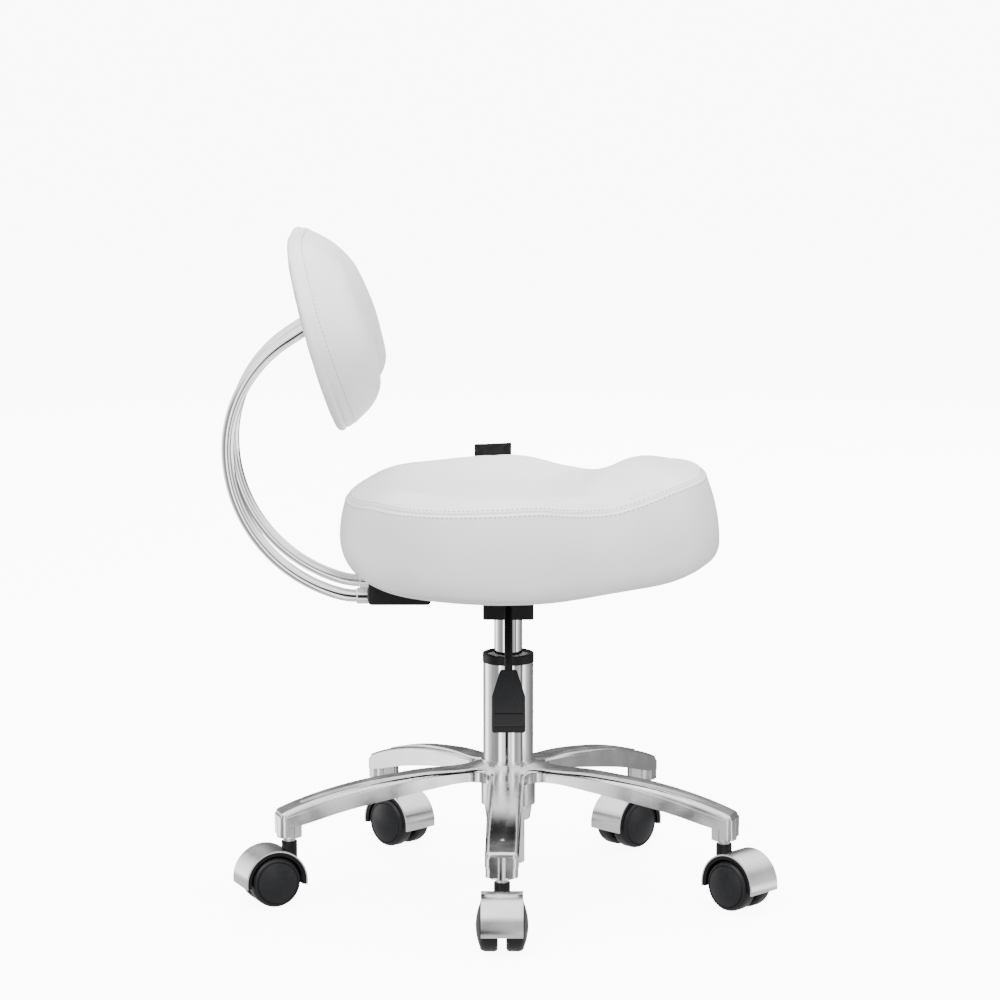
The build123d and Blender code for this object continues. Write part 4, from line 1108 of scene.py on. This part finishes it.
def wheel_profile():
    """(offset along the axle, radius) from the axle's blind hole round the tread to the cap."""
    corners = list(WHEEL_CORNERS)
    for step in range(1, WHEEL_CAP_RINGS + 1):
        radius = WHEEL_CAP_RADIUS * (1 - step / WHEEL_CAP_RINGS)
        bulge = 1 - (radius / WHEEL_CAP_RADIUS) ** 2
        corners.append((WHEEL_CAP_FOOT + WHEEL_CAP_RISE * bulge, radius))
    return corners


def turned_wheel(name, centre, axle, outwards):
    """A wheel turned about its axle, its domed cap facing outwards."""
    axle = Vector(axle).normalized() * outwards
    upright = Vector((0, 0, 1))
    level = axle.cross(upright)
    profile = wheel_profile()
    verts = []
    for offset, radius in profile:
        for k in range(WHEEL_SIDES):
            turn = 2 * math.pi * k / WHEEL_SIDES
            spoke = upright * math.cos(turn) + level * math.sin(turn)
            verts.append(Vector(centre) / MM + axle * offset + spoke * radius)
    wheel = mesh_object(name, verts, lathe_faces(len(profile), WHEEL_SIDES), weld=True)
    wheel.data.set_sharp_from_angle(angle=WHEEL_SHARP_ANGLE)
    wheel.data.materials.append(SLOT_MATERIALS["wheel_black"])
    return wheel


for joint in frame["joints"]:
    if not joint["name"].endswith("_roll"):
        continue
    body = joint["child"]
    corner, label = body.split("_wheel_")
    cad_wheel = f"{corner}_caster_wheel_{label}"
    low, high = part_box(cad_wheel)
    side = (low + high) / 2 - Vector(joint["pos_m"])
    outwards = 1 if side.dot(Vector(joint["axis"])) > 0 else -1
    made = turned_wheel(f"{corner}_turned_wheel_{label}", joint["pos_m"], joint["axis"], outwards)
    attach(made, body)
    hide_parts(cad_wheel)

# ---------------------------------------------------------------- studio

floor_mesh = bpy.data.meshes.new("floor")
floor_mesh.from_pydata(
    [(FLOOR_REACH * x, FLOOR_REACH * y, 0) for x, y in ((-1, -1), (1, -1), (1, 1), (-1, 1))],
    [],
    [(0, 1, 2, 3)],
)
floor = bpy.data.objects.new("floor", floor_mesh)
floor.data.materials.append(studio_floor())
bpy.context.scene.collection.objects.link(floor)
floor.visible_diffuse = False
floor.visible_glossy = False


def bowl_glow():
    """The bowl's light: a ramp round its sides that fades into one brightness on its roof."""
    s = Surface("reflection_bowl", (0, 0, 0), 1.0)
    split = s.node("ShaderNodeSeparateXYZ")
    s.link(s.place, split.inputs["Vector"])
    angle = s.math("ARCTAN2", split.outputs["X"], s.math("MULTIPLY", split.outputs["Y"], -1))
    bands = s.node("ShaderNodeValToRGB")
    ramp = bands.color_ramp
    while len(ramp.elements) > 1:
        ramp.elements.remove(ramp.elements[-1])
    for number, (azimuth, glow) in enumerate(BOWL_BANDS):
        place = (azimuth + 180) / 360
        stop = ramp.elements[0] if number == 0 else ramp.elements.new(place)
        stop.position = place
        stop.color = (glow, glow, glow, 1)
    s.link(s.span(angle, -math.pi, math.pi), bands.inputs["Fac"])
    roof = s.span(split.outputs["Z"], BOWL_ROOF_START, BOWL_ROOF_FULL)
    emission = s.node("ShaderNodeEmission")
    emission.inputs["Strength"].default_value = BOWL_STRENGTH
    mixed = s.mix(roof, bands.outputs["Color"], (BOWL_ROOF_GLOW,) * 3)
    s.link(mixed, emission.inputs["Color"])
    s.link(emission.outputs["Emission"], s.tree.nodes["Material Output"].inputs["Surface"])
    s.tree.nodes.remove(s.shader)
    return s.material


def reflection_bowl():
    """A bowl that only reflections see: pale and dark upright bands below, a bright roof above."""
    verts = []
    for radius, height in BOWL_PROFILE:
        for k in range(BOWL_SIDES):
            turn = 2 * math.pi * k / BOWL_SIDES
            verts.append((radius * math.sin(turn), -radius * math.cos(turn), height))
    mesh = bpy.data.meshes.new("reflection_bowl")
    mesh.from_pydata(verts, [], lathe_faces(len(BOWL_PROFILE), BOWL_SIDES))
    bowl = bpy.data.objects.new("reflection_bowl", mesh)
    bowl.data.materials.append(bowl_glow())
    bpy.context.scene.collection.objects.link(bowl)
    bowl.visible_camera = False
    bowl.visible_diffuse = False
    bowl.visible_shadow = False
    bowl.visible_transmission = False


reflection_bowl()


def softbox(name, place, size, power):
    """A square area light aimed at the stool's middle."""
    light = bpy.data.lights.new(name, "AREA")
    light.shape = "SQUARE"
    light.size = size
    light.energy = power
    lamp = bpy.data.objects.new(name, light)
    lamp.location = place
    lamp.rotation_euler = (Vector(STOOL_MIDDLE) - Vector(place)).to_track_quat("-Z", "Y").to_euler()
    bpy.context.scene.collection.objects.link(lamp)


for softbox_facts in SOFTBOXES:
    softbox(*softbox_facts)

world = bpy.data.worlds.new("studio")
bpy.context.scene.world = world
world.use_nodes = True
background = world.node_tree.nodes["Background"]
background.inputs["Color"].default_value = (1.0, 1.0, 1.0, 1)
background.inputs["Strength"].default_value = WORLD_GLOW

camera_data = bpy.data.cameras.new("camera")
camera_data.sensor_width = CAMERA_SENSOR
camera_data.lens = CAMERA_LENS
camera_data.clip_end = CAMERA_CLIP
camera = bpy.data.objects.new("camera", camera_data)
camera.location = CAMERA_PLACE
camera.rotation_euler = (CAMERA_TILT, 0, 0)
bpy.context.scene.collection.objects.link(camera)
bpy.context.scene.camera = camera
